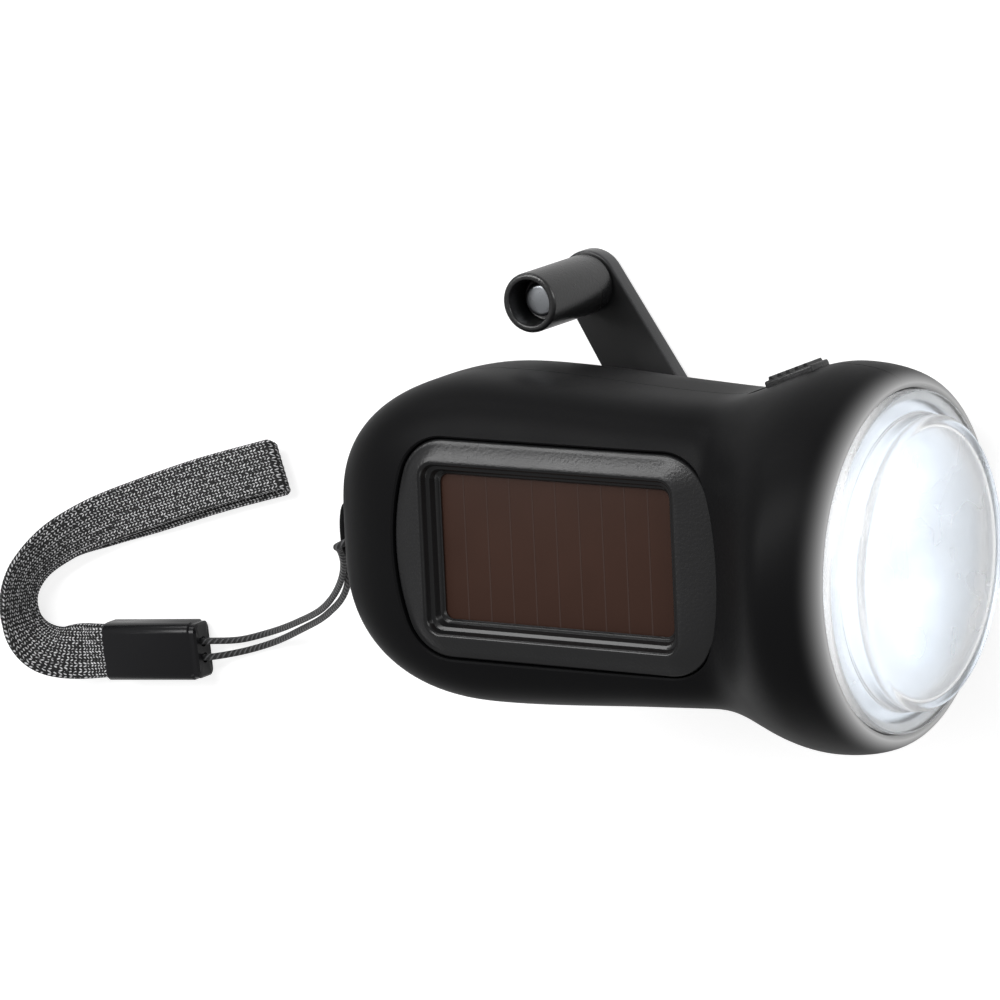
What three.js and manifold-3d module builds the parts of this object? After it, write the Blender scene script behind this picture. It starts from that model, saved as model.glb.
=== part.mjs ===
// A hand cranked flashlight with a solar panel, in millimetres, +Z up.
// It lies on its back: the crank's hub and the head's rim stand on the floor at Z = 0, the lens looks
// along +X, the panel looks up, and the crank arm is swung out past the +Y side.
import * as THREE from 'three';
import { mergeVertices } from 'three/addons/utils/BufferGeometryUtils.js';
import Module from 'manifold-3d';

const wasm = await Module();
wasm.setup();

// Clearances
const gap = 0.3;             // between pieces that rest on each other
const runningGap = 0.2;      // round a shaft or pin
const overrun = 2;           // how far a cutting solid runs past what it cuts

// Housing, measured from the torch's axis: X along it, Y across, +Z to the panel, -Z to the crank
const buttAt = -47.7;
const rimAt = 50;
const wall = 2.2;
const bodyHalfWidth = 25.8;
const neckHalfWidth = 24.1;
const frontDepth = 16.7;
const headRadius = 30;
const hubHeight = 3.5;       // the crank's hub, from the body's back to the floor
const rearDepth = headRadius - hubHeight;
const rimRound = 2.8;        // how far the head draws in at its rim
const rimRadius = headRadius - rimRound;
const headWidestAt = 41;
const neckAt = 20;
const sideShoulderAt = -18;
const frontShoulderAt = -20;
const rearShoulderAt = -22;
const frontFlareAt = 22;
const rearFlareAt = 15;
const sideEndPower = 2.25;
const frontEndPower = 2.5;
const rearEndPower = 2.4;
const frontSquarePower = 4;
const rearSquarePower = 2.8;
const roundAgainFrom = 10;   // the section starts turning from squarish to round here
const buttRings = 8;
const bodyRings = 12;
const rimRings = 3;
const ringPoints = 40;
const hollowPoints = 20;
const hollowSkip = 2;        // the hollow takes every second station

// Panel
const panelAt = -2.5;
const bezelLength = 58.9;
const bezelWidth = 34.5;
const bezelCorner = 8;
const bezelLensArc = 26;     // radius of the bowed end next to the lens
const bezelButtArc = 37;
const bezelThickness = 3;
const bezelEdge = 0.5;
const windowShift = -1.4;     // the window sits nearer to the butt than the bezel
const windowAt = panelAt + windowShift;
const cellLength = 41;
const cellWidth = 23.1;
const cellThickness = 1.2;
const cellMargin = 1.2;      // how far the cell reaches under the bezel
const windowDraft = 1.8;
const trayWall = 1.8;
const bezelSink = 0.12;      // the bezel's face below the body's
const bezelTop = frontDepth - bezelSink;

// Head: lens, seal, reflector, lamps
const rimLip = 1;            // the rim's flat edge round the lens
const lensRadius = rimRadius - rimLip;
const lensFlange = 1.6;
const lensStep = 3.7;
const lensDome = 0.7;
const lensShelf = 3.5;       // from the flange's edge to the raised step
const lensStepRadius = lensRadius - lensShelf;
const lensCrownShare = 0.6;  // where the dome's middle ring is, and how high
const lensWall = 1.6;
const sealThickness = 0.8;
const sealWidth = 1.5;
const lensLedge = 1.7;       // what carries the lens
const boreRadius = lensRadius - lensLedge;
const boreFrom = 34.5;
const reflectorDepth = 9;
const wellRadius = 8.4;
const wellFootShare = 1 / 6; // of the reflector's depth, below the wells
const wellOffset = 10;
const lampRadius = 2.5;
const lampCollar = 2.9;
const lampCollarHeight = 1;
const lampHeight = 7;
const lampCount = 3;
const lampDomeShares = [[0.8, 0.6], [0.4, 0.92]]; // of the lamp's radius: across, and up from the neck
const boardThickness = 1.4;
const lampBoardInset = 3.5;
const lampBoardRadius = boreRadius - lampBoardInset;

// Crank
const hubAt = 1;
const hubRadius = 11;
const hubBase = 1.3;
const crankAngle = THREE.MathUtils.degToRad(121.8);
const knobRadius = 4.75;
const knobSide = 3.9;        // between the knob and the body's side in the drawn pose
const armLength = (bodyHalfWidth + knobRadius + knobSide) / Math.sin(crankAngle);
const armRootWidth = 12.8;
const armTipRadius = 5.2;
const armThickness = 3;
const armLift = 0.15;        // the arm's outer face above the hub's
const armPinRadius = 0.6;
const spindleRadius = 3;
const bushWall = 1.8;
const bushFlange = 1;
const bushFlangeThickness = 0.8;
const knobLength = 18;
const knobEdge = 0.8;
const knobPinRadius = 1.6;
const knobPinHead = 2.7;
const knobPinHeadHeight = 1.6;
const knobCupRadius = 3.6;
const knobCupDepth = 5;
const pocketClearance = 0.9;
const pocketWall = 1.5;

// Gear train
const gearModule = 0.6;
const crankTeeth = 36;
const pinionTeeth = 10;
const idlerTeeth = 28;
const addendumShare = 0.75;  // of the module
const dedendumShare = 1.15;
const toothRootShare = 0.29; // half a tooth's angle, of its pitch angle
const toothTipShare = 0.11;
const gearWidth = 2;
const crankGearWidth = 2.5;
const layerGap = 0.5;
const pinionReach = 0.2;     // a pinion stands this far past the wheel it drives
const axleRadius = 0.9;
const idlerOneHeading = THREE.MathUtils.degToRad(210);
const idlerTwoHeading = THREE.MathUtils.degToRad(110);
const rotorHeading = THREE.MathUtils.degToRad(30);
const plateThickness = 1.5;
const plateMargin = 2.4;
const postRadius = 2;
const socketRadius = 2.25;
const postClearance = 2.5;   // from a post to the teeth it stands beside
const crankPostHeading = THREE.MathUtils.degToRad(62);
const rearPostHeading = THREE.MathUtils.degToRad(222);
const sidePostHeading = THREE.MathUtils.degToRad(106);
const statorRadius = 10;
const statorBore = 7.2;
const statorHeight = 8;
const statorLid = 1;
const poleCount = 6;
const poleWidth = 3.4;
const poleDepth = 1.1;
const rotorRadius = 5.4;
const rotorHeight = 6.6;

// Power
const batteryAt = 20.5;
const batteryRadius = 7.6;
const batteryRise = 3.7;     // the stack's underside above the housing's inner face
const batteryDrop = rearDepth - wall - batteryRise - batteryRadius;
const batteryCellLength = 5.8;
const batteryCount = 3;
const mainBoardLength = 38;
const mainBoardWidth = 30;
const mainBoardRise = 4;
const boardPostInset = 3;
const boardPostRadius = 1.5;
const chipLength = 7;
const chipWidth = 6;
const chipHeight = 1.6;

// Switch
const switchAt = 32;
const switchLength = 9;
const switchWidth = 5.4;
const switchProud = 1.3;
const switchTravel = 3;
const switchRibs = 5;
const switchRibDepth = 0.5;
const switchRibShare = 0.2;  // of a rib's width, each flank
const switchStem = 2;
const switchStemBack = 2.5;  // the stem behind the slider's middle
const switchBodyLength = 9;
const switchBodyWidth = 7;
const switchBodyDepth = 3.2;
const switchBodySink = 1.3;  // the switch's face below the wall

// Screws
const screwHeadRadius = 2.6;
const screwHeadHeight = 1.5;
const screwRadius = 1.2;
const screwBossRadius = 3.7;
const screwSink = 1.2;       // the head's face below the housing's
const screwReach = 4;        // into the front half
const rearScrewAt = -29;
const rearScrewSpread = 13.5;
const headScrewAt = 25;
const headScrewSpread = 14.3;
const screwPlaces = [
  [rearScrewAt, rearScrewSpread], [rearScrewAt, -rearScrewSpread],
  [headScrewAt, headScrewSpread], [headScrewAt, -headScrewSpread],
];

// Wrist strap
const lugSpan = 8.5;
const lugShift = -2;
const lugProud = 3;
const lugRadius = 0.9;
const lugSinkShare = 0.4;    // of its radius, from the butt to a foot's middle
const lugKneeShare = 0.75;   // how far out the bow bends
const lugKneeSpanShare = 0.9;
const lugBowSpanShare = 0.5;
const stringDiameter = 1.1;
const stringSides = 8;
const stringSpread = 1.35;   // each strand from the ferrule's middle
const strapWidth = 8.5;
const strapLayer = 1.1;
const strapLayerGap = 0.4;
const strapEdgeShare = 0.6;  // of half the thickness, rounded off
const ferruleLength = 18.5;
const ferruleWidth = 9.6;
const ferruleHeight = 5;
const ferruleEdge = 0.8;
const ferruleWall = 0.9;

const fine = 32;             // sides of a large round
const medium = 18;
const coarse = 10;

const mergeTolerance = 1e-4;

// Materials
const paint = (color, roughness, metalness = 0) =>
  new THREE.MeshStandardMaterial({ color, roughness, metalness });
const blackPlastic = paint(0x141415, 0.45);
const bezelPlastic = paint(0x2a2a2c, 0.38);
const cellGlass = paint(0x3d231d, 0.25);
const clearPlastic = paint(0xe8eef4, 0.1);
const mirror = paint(0xd8dade, 0.12, 1);
const sealRubber = paint(0x202020, 0.8);
const lampEpoxy = paint(0xf4f8ff, 0.1);
const boardLaminate = paint(0x1f5a34, 0.5);
const gearNylon = paint(0xe9e6da, 0.5);
const steel = paint(0x9b9ea3, 0.35, 1);
const batterySteel = paint(0xb9bcc2, 0.3, 1);
const coilCan = paint(0x8a8d92, 0.4, 1);
const magnet = paint(0x35363a, 0.55, 0.4);
const webbing = paint(0x1b1b1c, 0.95);
const cordNylon = paint(0x161617, 0.8);

// Manifold solids and three.js geometry
function solid(geometry) {
  const bare = new THREE.BufferGeometry();
  bare.setAttribute('position', geometry.getAttribute('position'));
  if (geometry.index) bare.setIndex(geometry.index);
  const merged = mergeVertices(bare, mergeTolerance);
  return new wasm.Manifold(new wasm.Mesh({
    numProp: 3,
    vertProperties: new Float32Array(merged.getAttribute('position').array),
    triVerts: new Uint32Array(merged.index.array),
  }));
}

function geometryOf(body) {
  const mesh = body.getMesh();
  const geometry = new THREE.BufferGeometry();
  geometry.setAttribute('position', new THREE.BufferAttribute(new Float32Array(mesh.vertProperties), 3));
  geometry.setIndex(new THREE.BufferAttribute(new Uint32Array(mesh.triVerts), 1));
  return geometry;
}

function joined(...parts) {
  return parts.reduce((whole, part) => whole.add(part));
}

function cutBy(body, ...tools) {
  return tools.reduce((rest, tool) => rest.subtract(tool), body);
}

// Simple solids given by where they start and end
function block(x0, x1, y0, y1, z0, z1) {
  const geometry = new THREE.BoxGeometry(x1 - x0, y1 - y0, z1 - z0);
  geometry.translate((x0 + x1) / 2, (y0 + y1) / 2, (z0 + z1) / 2);
  return solid(geometry);
}

function rodZ(x, y, z0, z1, radius, sides = coarse, topRadius = radius) {
  const geometry = new THREE.CylinderGeometry(topRadius, radius, z1 - z0, sides);
  geometry.rotateX(Math.PI / 2).translate(x, y, (z0 + z1) / 2);
  return solid(geometry);
}

function rodX(x0, x1, y, z, radius, sides = coarse, endRadius = radius) {
  const geometry = new THREE.CylinderGeometry(endRadius, radius, x1 - x0, sides);
  geometry.rotateZ(-Math.PI / 2).translate((x0 + x1) / 2, y, z);
  return solid(geometry);
}

function rodY(x, y0, y1, z, radius, sides = coarse) {
  const geometry = new THREE.CylinderGeometry(radius, radius, y1 - y0, sides);
  geometry.translate(x, (y0 + y1) / 2, z);
  return solid(geometry);
}

function slab(shape, z0, z1, curveSegments = coarse / 2) {
  const geometry = new THREE.ExtrudeGeometry(shape, { depth: z1 - z0, bevelEnabled: false, curveSegments });
  geometry.translate(0, 0, z0);
  return solid(geometry);
}

// A body of revolution about the torch's axis; the profile is [radius, x] pairs, listed from the rear
function turnedX(profile, sides = fine) {
  const geometry = new THREE.LatheGeometry(profile.map(([r, x]) => new THREE.Vector2(r, x)), sides);
  geometry.rotateZ(-Math.PI / 2);
  return solid(geometry);
}

// The same about +Z; the profile is [radius, z] pairs
function turnedZ(profile, sides = medium) {
  const geometry = new THREE.LatheGeometry(profile.map(([r, z]) => new THREE.Vector2(r, z)), sides);
  geometry.rotateX(Math.PI / 2);
  return solid(geometry);
}

// A skin over rings of equally many points, closed by a point at each end
function loft(rings, startTip, endTip) {
  const points = [...rings.flat(), startTip, endTip];
  const count = rings[0].length;
  const start = points.length - 2;
  const end = points.length - 1;
  const faces = [];
  for (let j = 0; j < count; j++) {
    const k = (j + 1) % count;
    const last = (rings.length - 1) * count;
    faces.push(start, k, j, end, last + j, last + k);
    for (let i = 0; i < rings.length - 1; i++) {
      const a = i * count;
      const b = a + count;
      faces.push(a + j, a + k, b + j, a + k, b + k, b + j);
    }
  }
  const geometry = new THREE.BufferGeometry();
  geometry.setAttribute('position', new THREE.Float32BufferAttribute(points.flatMap((p) => p.toArray()), 3));
  geometry.setIndex(faces);
  return geometry;
}

// Housing form
const smooth = (t) => {
  const u = Math.min(Math.max(t, 0), 1);
  return u * u * (3 - 2 * u);
};
const blend = (from, to, share) => from + (to - from) * share;

// How full the section still is where the butt rounds off
function endShare(x, shoulder, power, end) {
  const u = Math.min(Math.max((shoulder - x) / (shoulder - end), 0), 1);
  return (1 - u ** power) ** (1 / power);
}

function rimShare(x) {
  const t = Math.min(Math.max((x - headWidestAt) / (rimAt - headWidestAt), 0), 1);
  return Math.sqrt(1 - t * t);
}

// Half width, depths to the panel and to the crank, and squareness of the section at x, drawn in by inset
function sectionAt(x, inset = 0) {
  const end = buttAt + inset;
  const flare = (from) => smooth((x - from) / (headWidestAt - from));
  const waist = blend(bodyHalfWidth, neckHalfWidth, smooth((x - sideShoulderAt) / (neckAt - sideShoulderAt)));
  const head = (size, from) => {
    const open = blend(size, headRadius, flare(from));
    return x > headWidestAt ? blend(rimRadius, headRadius, rimShare(x)) : open;
  };
  const round = smooth((x - roundAgainFrom) / (headWidestAt - roundAgainFrom));
  return {
    side: (head(waist, neckAt) - inset) * endShare(x, sideShoulderAt, sideEndPower, end),
    front: (head(frontDepth, frontFlareAt) - inset) * endShare(x, frontShoulderAt, frontEndPower, end),
    rear: (head(rearDepth, rearFlareAt) - inset) * endShare(x, rearShoulderAt, rearEndPower, end),
    frontPower: blend(frontSquarePower, 2, round),
    rearPower: blend(rearSquarePower, 2, round),
  };
}

function sectionRing(x, inset, count) {
  const s = sectionAt(x, inset);
  const ring = [];
  for (let j = 0; j < count; j++) {
    const angle = (2 * Math.PI * j) / count;
    const c = Math.cos(angle);
    const v = Math.sin(angle);
    const power = v >= 0 ? s.frontPower : s.rearPower;
    const depth = v >= 0 ? s.front : s.rear;
    const y = s.side * Math.sign(c) * Math.abs(c) ** (2 / power);
    const z = depth * Math.sign(v) * Math.abs(v) ** (2 / power);
    ring.push(new THREE.Vector3(x, y, z));
  }
  return ring;
}

// Height of the outer skin over the point x, y on the crank's side
function rearSkinAt(x, y) {
  const s = sectionAt(x);
  return -s.rear * (1 - (Math.abs(y) / s.side) ** s.rearPower) ** (1 / s.rearPower);
}

function housingForm(inset, until, count, skip) {
  const end = buttAt + inset;
  const stations = [];
  for (let i = 1; i <= buttRings; i++) {
    const share = Math.cos((Math.PI / 2) * (i / buttRings));
    stations.push(blend(rearShoulderAt, end, share));
  }
  for (let i = 1; i <= bodyRings; i++) stations.push(blend(rearShoulderAt, headWidestAt, i / bodyRings));
  for (let i = 1; i <= rimRings; i++) {
    stations.push(blend(headWidestAt, rimAt, Math.sin((Math.PI / 2) * (i / rimRings))));
  }
  const kept = stations.filter((x, i) => x < until - gap && i % skip === 0);
  kept.push(until);
  const rings = kept.map((x) => sectionRing(x, inset, count));
  return solid(loft(rings, new THREE.Vector3(end, 0, 0), new THREE.Vector3(until, 0, 0)));
}

// Each end is a wide arc that runs into the arcs of its two corners
function bezelOutline(grow) {
  const hx = bezelLength / 2 + grow;
  const hy = bezelWidth / 2 + grow;
  const r = bezelCorner + grow;
  const shape = new THREE.Shape();
  [[1, bezelLensArc + grow], [-1, bezelButtArc + grow]].forEach(([side, wide]) => {
    const middle = panelAt + side * (hx - wide);
    const sweep = Math.asin((hy - r) / (wide - r));
    const corner = middle + side * (wide - r) * Math.cos(sweep);
    const heading = side > 0 ? 0 : Math.PI;
    shape.absarc(corner, -side * (hy - r), r, heading - Math.PI / 2, heading - sweep, false);
    shape.absarc(middle, 0, wide, heading - sweep, heading + sweep, false);
    shape.absarc(corner, side * (hy - r), r, heading + sweep, heading + Math.PI / 2, false);
  });
  return shape;
}

// A four sided solid round the window's centre that widens from bottom to top
function frustum(halfLength, halfWidth, z0, z1, widening) {
  const ring = (z, more) => [[1, -1], [1, 1], [-1, 1], [-1, -1]].map(([sx, sy]) =>
    new THREE.Vector3(windowAt + sx * (halfLength + more), sy * (halfWidth + more), z));
  const tip = (z) => new THREE.Vector3(windowAt, 0, z);
  return solid(loft([ring(z0, 0), ring(z1, widening)], tip(z0), tip(z1)));
}

// Places that several pieces share
const floorAt = -headRadius;
const hubFace = floorAt;
const hubBaseBottom = -rearDepth;
const hubBaseTop = hubBaseBottom + hubBase;
const hubRecess = hubBaseTop + gap;
const hubRecessRadius = hubRadius + gap;
const bossTop = hubRecess + wall;
const bushRadius = spindleRadius + runningGap + bushWall;
const armBottom = hubFace + armLift;
const armTop = armBottom + armThickness;
const armMid = (armBottom + armTop) / 2;
const knobBottom = armTop + gap;
const knobTop = knobBottom + knobLength;
const pocketAt = hubAt - armLength;
const pocketRadius = knobRadius + pocketClearance;
const pocketTop = knobTop + gap;

const bezelBottom = bezelTop - bezelThickness;
const cellTop = bezelBottom - gap;
const cellBottom = cellTop - cellThickness;
const trayBottom = cellBottom - gap - trayWall;

const rimFace = rimAt;
const lensBack = rimFace - lensFlange / 2;
const sealBack = lensBack - gap - sealThickness;
const ledgeAt = sealBack - gap;
const rebateRadius = lensRadius + gap;
const reflectorFront = ledgeAt - gap;
const reflectorBack = reflectorFront - reflectorDepth;
const boardBack = reflectorBack - gap - lampCollarHeight - gap - boardThickness;

// Gear layers, counted up from the hub's boss
const gearRadius = (teeth) => (gearModule * teeth) / 2;
const layerOne = bossTop + bushFlangeThickness + gap + gap;
const layerTwo = layerOne + crankGearWidth + layerGap;
const layerThree = layerTwo + gearWidth + layerGap;
const plateBottom = layerThree + gearWidth + layerGap;
const plateTop = plateBottom + plateThickness;
const statorBottom = plateTop + gap;
const statorTop = statorBottom + statorHeight;
const rotorBottom = statorBottom + gap;

const crankCentre = new THREE.Vector2(hubAt, 0);
const stepFrom = (from, reach, heading) =>
  new THREE.Vector2(from.x + reach * Math.cos(heading), from.y + reach * Math.sin(heading));
const idlerOne = stepFrom(crankCentre, gearRadius(crankTeeth + pinionTeeth), idlerOneHeading);
const idlerTwo = stepFrom(idlerOne, gearRadius(idlerTeeth + pinionTeeth), idlerTwoHeading);
const rotorCentre = stepFrom(idlerTwo, gearRadius(idlerTeeth + pinionTeeth), rotorHeading);
const crankPostReach = gearRadius(crankTeeth) + gearModule + postRadius + postClearance;
const idlerPostReach = gearRadius(idlerTeeth) + gearModule + postRadius + postClearance;
const platePosts = [
  stepFrom(crankCentre, crankPostReach, crankPostHeading),
  stepFrom(crankCentre, crankPostReach, -crankPostHeading),
  stepFrom(idlerTwo, idlerPostReach, rearPostHeading),
  stepFrom(idlerTwo, idlerPostReach, sidePostHeading),
];

// Toothed wheels
function gearOutline(teeth, turn) {
  const pitch = gearRadius(teeth);
  const root = pitch - dedendumShare * gearModule;
  const tip = pitch + addendumShare * gearModule;
  const step = (2 * Math.PI) / teeth;
  const shape = new THREE.Shape();
  const corners = [
    [root, -toothRootShare], [tip, -toothTipShare], [tip, toothTipShare], [root, toothRootShare],
  ];
  for (let i = 0; i < teeth; i++) {
    for (const [radius, share] of corners) {
      const angle = turn + step * (i + share);
      const point = [radius * Math.cos(angle), radius * Math.sin(angle)];
      if (i === 0 && share === -toothRootShare) shape.moveTo(...point);
      else shape.lineTo(...point);
    }
  }
  shape.closePath();
  return shape;
}

function gear(teeth, turn, z0, z1) {
  return slab(gearOutline(teeth, turn), z0, z1);
}

// The turn that puts a driven wheel's gap where the driver has a tooth
function meshedTurn(driverTeeth, driverTurn, heading, drivenTeeth) {
  const place = ((heading - driverTurn) * driverTeeth) / (2 * Math.PI);
  return heading + Math.PI - ((2 * Math.PI) / drivenTeeth) * (1 / 2 - place);
}

const crankGearTurn = 0;
const idlerOnePinionTurn = meshedTurn(crankTeeth, crankGearTurn, idlerOneHeading, pinionTeeth);
const idlerOneTurn = idlerOnePinionTurn;
const idlerTwoPinionTurn = meshedTurn(idlerTeeth, idlerOneTurn, idlerTwoHeading, pinionTeeth);
const idlerTwoTurn = idlerTwoPinionTurn;
const rotorPinionTurn = meshedTurn(idlerTeeth, idlerTwoTurn, rotorHeading, pinionTeeth);

// Groups: the whole is centred over its own footprint, and the torch's axis is a head radius up
const flashlight = new THREE.Group();
const torch = new THREE.Group();
const lugTip = buttAt - lugProud - lugRadius;
const lensTip = lensBack + lensFlange + lensStep + lensDome;
const armReach = armLength * Math.sin(crankAngle) + armTipRadius;
torch.position.set(-(lugTip + lensTip) / 2, -(armReach - headRadius) / 2, headRadius);
flashlight.add(torch);

const crank = new THREE.Group();
crank.position.set(hubAt, 0, 0);
crank.rotation.z = crankAngle;
torch.add(crank);

function piece(name, shape, material, parent = torch) {
  const geometry = shape.isBufferGeometry ? shape : geometryOf(shape);
  geometry.computeVertexNormals();
  const mesh = new THREE.Mesh(geometry, material);
  mesh.name = name;
  parent.add(mesh);
  return mesh;
}

// Switch slot and slider, both laid along the flare of the head
const switchSlope = Math.atan2(
  sectionAt(switchAt + switchLength / 2).side - sectionAt(switchAt - switchLength / 2).side, switchLength);
const switchSkin = sectionAt(switchAt).side;
const slotLength = switchLength + switchTravel + 2 * gap;

function switchSlot() {
  const geometry = new THREE.BoxGeometry(slotLength, wall * 4, switchWidth + 2 * gap);
  geometry.translate(-switchTravel / 2, 0, 0).rotateZ(switchSlope).translate(switchAt, switchSkin, 0);
  return solid(geometry);
}

// Housing halves
function housingShell() {
  const outer = housingForm(0, rimFace, ringPoints, 1);
  const hollow = housingForm(wall, boreFrom, hollowPoints, hollowSkip);
  const bore = rodX(boreFrom - gap, rimFace + overrun, 0, 0, boreRadius, fine);
  const rebate = rodX(ledgeAt, rimFace + overrun, 0, 0, rebateRadius, fine);
  return { outer, shell: cutBy(outer, hollow, bore, rebate) };
}

const { outer, shell } = housingShell();
const everything = (z0, z1) =>
  block(buttAt - overrun, rimAt + overrun, -headRadius * 2, headRadius * 2, z0, z1);

function screwHeadFace([x, y]) {
  return rearSkinAt(x, y) + screwSink;
}

function housingFront() {
  const keep = everything(gap / 2, headRadius * 2);
  const tray = slab(bezelOutline(trayWall), trayBottom, bezelTop).intersect(outer);
  const bosses = screwPlaces.map(([x, y]) =>
    rodZ(x, y, gap / 2, frontDepth - wall / 2, screwBossRadius - gap).intersect(outer));
  const boardPosts = [-1, 1].flatMap((sx) => [-1, 1].map((sy) => rodZ(
    panelAt + sx * (mainBoardLength / 2 - boardPostInset), sy * (mainBoardWidth / 2 - boardPostInset),
    mainBoardRise + boardThickness + gap, trayBottom + trayWall, boardPostRadius)));
  const pocket = slab(bezelOutline(gap), bezelBottom - gap, headRadius);
  const seat = block(
    windowAt - cellLength / 2 - cellMargin - gap, windowAt + cellLength / 2 + cellMargin + gap,
    -cellWidth / 2 - cellMargin - gap, cellWidth / 2 + cellMargin + gap, cellBottom - gap, headRadius);
  const leadHole = rodZ(panelAt, 0, 0, headRadius, spindleRadius / 2);
  const screwHoles = screwPlaces.map(([x, y]) =>
    rodZ(x, y, -gap, screwReach + gap, screwRadius + gap));
  const body = joined(shell.intersect(keep), tray, ...bosses, ...boardPosts);
  return cutBy(body, pocket, seat, leadHole, ...screwHoles, switchSlot());
}

function housingRear() {
  const keep = everything(-headRadius * 2, -gap / 2);
  const inside = (z0, x, y, z1, radius, sides) => rodZ(x, y, z0, z1, radius, sides).intersect(outer);
  const pocketBoss = inside(floorAt, pocketAt, 0, pocketTop + pocketWall, pocketRadius + pocketWall, medium);
  const hubBoss = inside(floorAt, hubAt, 0, bossTop, hubRecessRadius + wall, fine);
  const posts = platePosts.map((p) => inside(floorAt, p.x, p.y, plateBottom - gap, postRadius));
  const sockets = [idlerOne, idlerTwo].map((p) => inside(floorAt, p.x, p.y, layerOne - gap, socketRadius));
  const screwBosses = screwPlaces.map(([x, y]) => inside(floorAt, x, y, -gap / 2, screwBossRadius));
  const cuts = [
    rodZ(pocketAt, 0, floorAt - overrun, pocketTop, pocketRadius, medium),
    rodZ(hubAt, 0, floorAt - overrun, hubRecess, hubRecessRadius, fine),
    rodZ(hubAt, 0, floorAt, layerOne, bushRadius + gap, medium),
    ...[idlerOne, idlerTwo].map((p) => rodZ(p.x, p.y, bossTop - gap, 0, axleRadius + runningGap)),
    ...screwPlaces.map((p) =>
      rodZ(p[0], p[1], floorAt - overrun, screwHeadFace(p) + screwHeadHeight + gap, screwHeadRadius + gap)),
    ...screwPlaces.map(([x, y]) => rodZ(x, y, floorAt, gap, screwRadius + gap)),
    switchSlot(),
  ];
  const body = joined(shell.intersect(keep), pocketBoss, hubBoss, ...posts, ...sockets, ...screwBosses);
  return cutBy(body, ...cuts);
}

piece('housing_front', housingFront(), blackPlastic);
piece('housing_rear', housingRear(), blackPlastic);

// Panel
function bezel() {
  const face = bezelOutline(-bezelEdge);
  const geometry = new THREE.ExtrudeGeometry(face, {
    depth: bezelThickness - 2 * bezelEdge,
    bevelThickness: bezelEdge, bevelSize: bezelEdge, bevelSegments: 1, curveSegments: coarse / 2,
  });
  geometry.translate(0, 0, bezelBottom + bezelEdge);
  const below = bezelBottom - overrun;
  const widening = (windowDraft * (bezelThickness + 2 * overrun)) / bezelThickness;
  const inset = (windowDraft * overrun) / bezelThickness;
  const window = frustum(cellLength / 2 - inset, cellWidth / 2 - inset, below, bezelTop + overrun, widening);
  return solid(geometry).subtract(window);
}

piece('panel_bezel', bezel(), bezelPlastic);
piece('solar_cell', block(
  windowAt - cellLength / 2 - cellMargin, windowAt + cellLength / 2 + cellMargin,
  -cellWidth / 2 - cellMargin, cellWidth / 2 + cellMargin, cellBottom, cellTop), cellGlass);

// Lens: a flange, a raised step and a slightly domed face, one moulding
function lens() {
  const flangeFront = lensBack + lensFlange;
  const stepFront = flangeFront + lensStep;
  const innerStep = lensStepRadius - lensWall;
  return turnedX([
    [0, stepFront - lensWall + lensDome],
    [innerStep * lensCrownShare, stepFront - lensWall + lensDome * lensCrownShare],
    [innerStep, stepFront - lensWall], [innerStep, lensBack], [lensRadius, lensBack],
    [lensRadius, flangeFront], [lensStepRadius, flangeFront], [lensStepRadius - gap, stepFront - gap],
    [lensStepRadius - lensWall / 2, stepFront],
    [innerStep * lensCrownShare, stepFront + lensDome * lensCrownShare],
    [0, stepFront + lensDome],
  ]);
}

piece('lens', lens(), clearPlastic);
piece('lens_seal', turnedX([
  [lensRadius - gap - sealWidth, sealBack], [lensRadius - gap, sealBack],
  [lensRadius - gap, sealBack + sealThickness], [lensRadius - gap - sealWidth, sealBack + sealThickness],
  [lensRadius - gap - sealWidth, sealBack],
]), sealRubber);

const lampPlaces = Array.from({ length: lampCount }, (_, i) => {
  const angle = Math.PI / 2 + (2 * Math.PI * i) / lampCount;
  return [wellOffset * Math.cos(angle), wellOffset * Math.sin(angle)];
});

function reflector() {
  const disc = rodX(reflectorBack, reflectorFront, 0, 0, boreRadius - gap, fine);
  const holeRadius = lampRadius + gap;
  const foot = reflectorBack + reflectorDepth * wellFootShare;
  const wells = lampPlaces.map(([y, z]) =>
    rodX(foot, reflectorFront + gap, y, z, holeRadius, medium, wellRadius));
  const holes = lampPlaces.map(([y, z]) =>
    rodX(reflectorBack - overrun, reflectorFront, y, z, holeRadius, medium));
  return cutBy(disc, ...wells, ...holes);
}

piece('reflector', reflector(), mirror);
const boardFront = boardBack + boardThickness;
const boardHoles = lampPlaces.map(([y, z]) =>
  rodX(boardBack - overrun, boardFront + overrun, -y, -z, screwRadius));
const boardDisc = rodX(boardBack, boardFront, 0, 0, lampBoardRadius, fine);
piece('lamp_board', cutBy(boardDisc, ...boardHoles), boardLaminate);

lampPlaces.forEach(([y, z], i) => {
  const foot = boardFront + gap;
  const collar = foot + lampCollarHeight;
  const neck = foot + lampHeight - lampRadius;
  const tip = foot + lampHeight;
  const lamp = turnedX([
    [0, foot], [lampCollar, foot], [lampCollar, collar], [lampRadius, collar], [lampRadius, neck],
    ...lampDomeShares.map(([across, up]) => [lampRadius * across, neck + lampRadius * up]), [0, tip],
  ], coarse);
  piece(`lamp_${i + 1}`, geometryOf(lamp), lampEpoxy).position.set(0, y, z);
});

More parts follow.
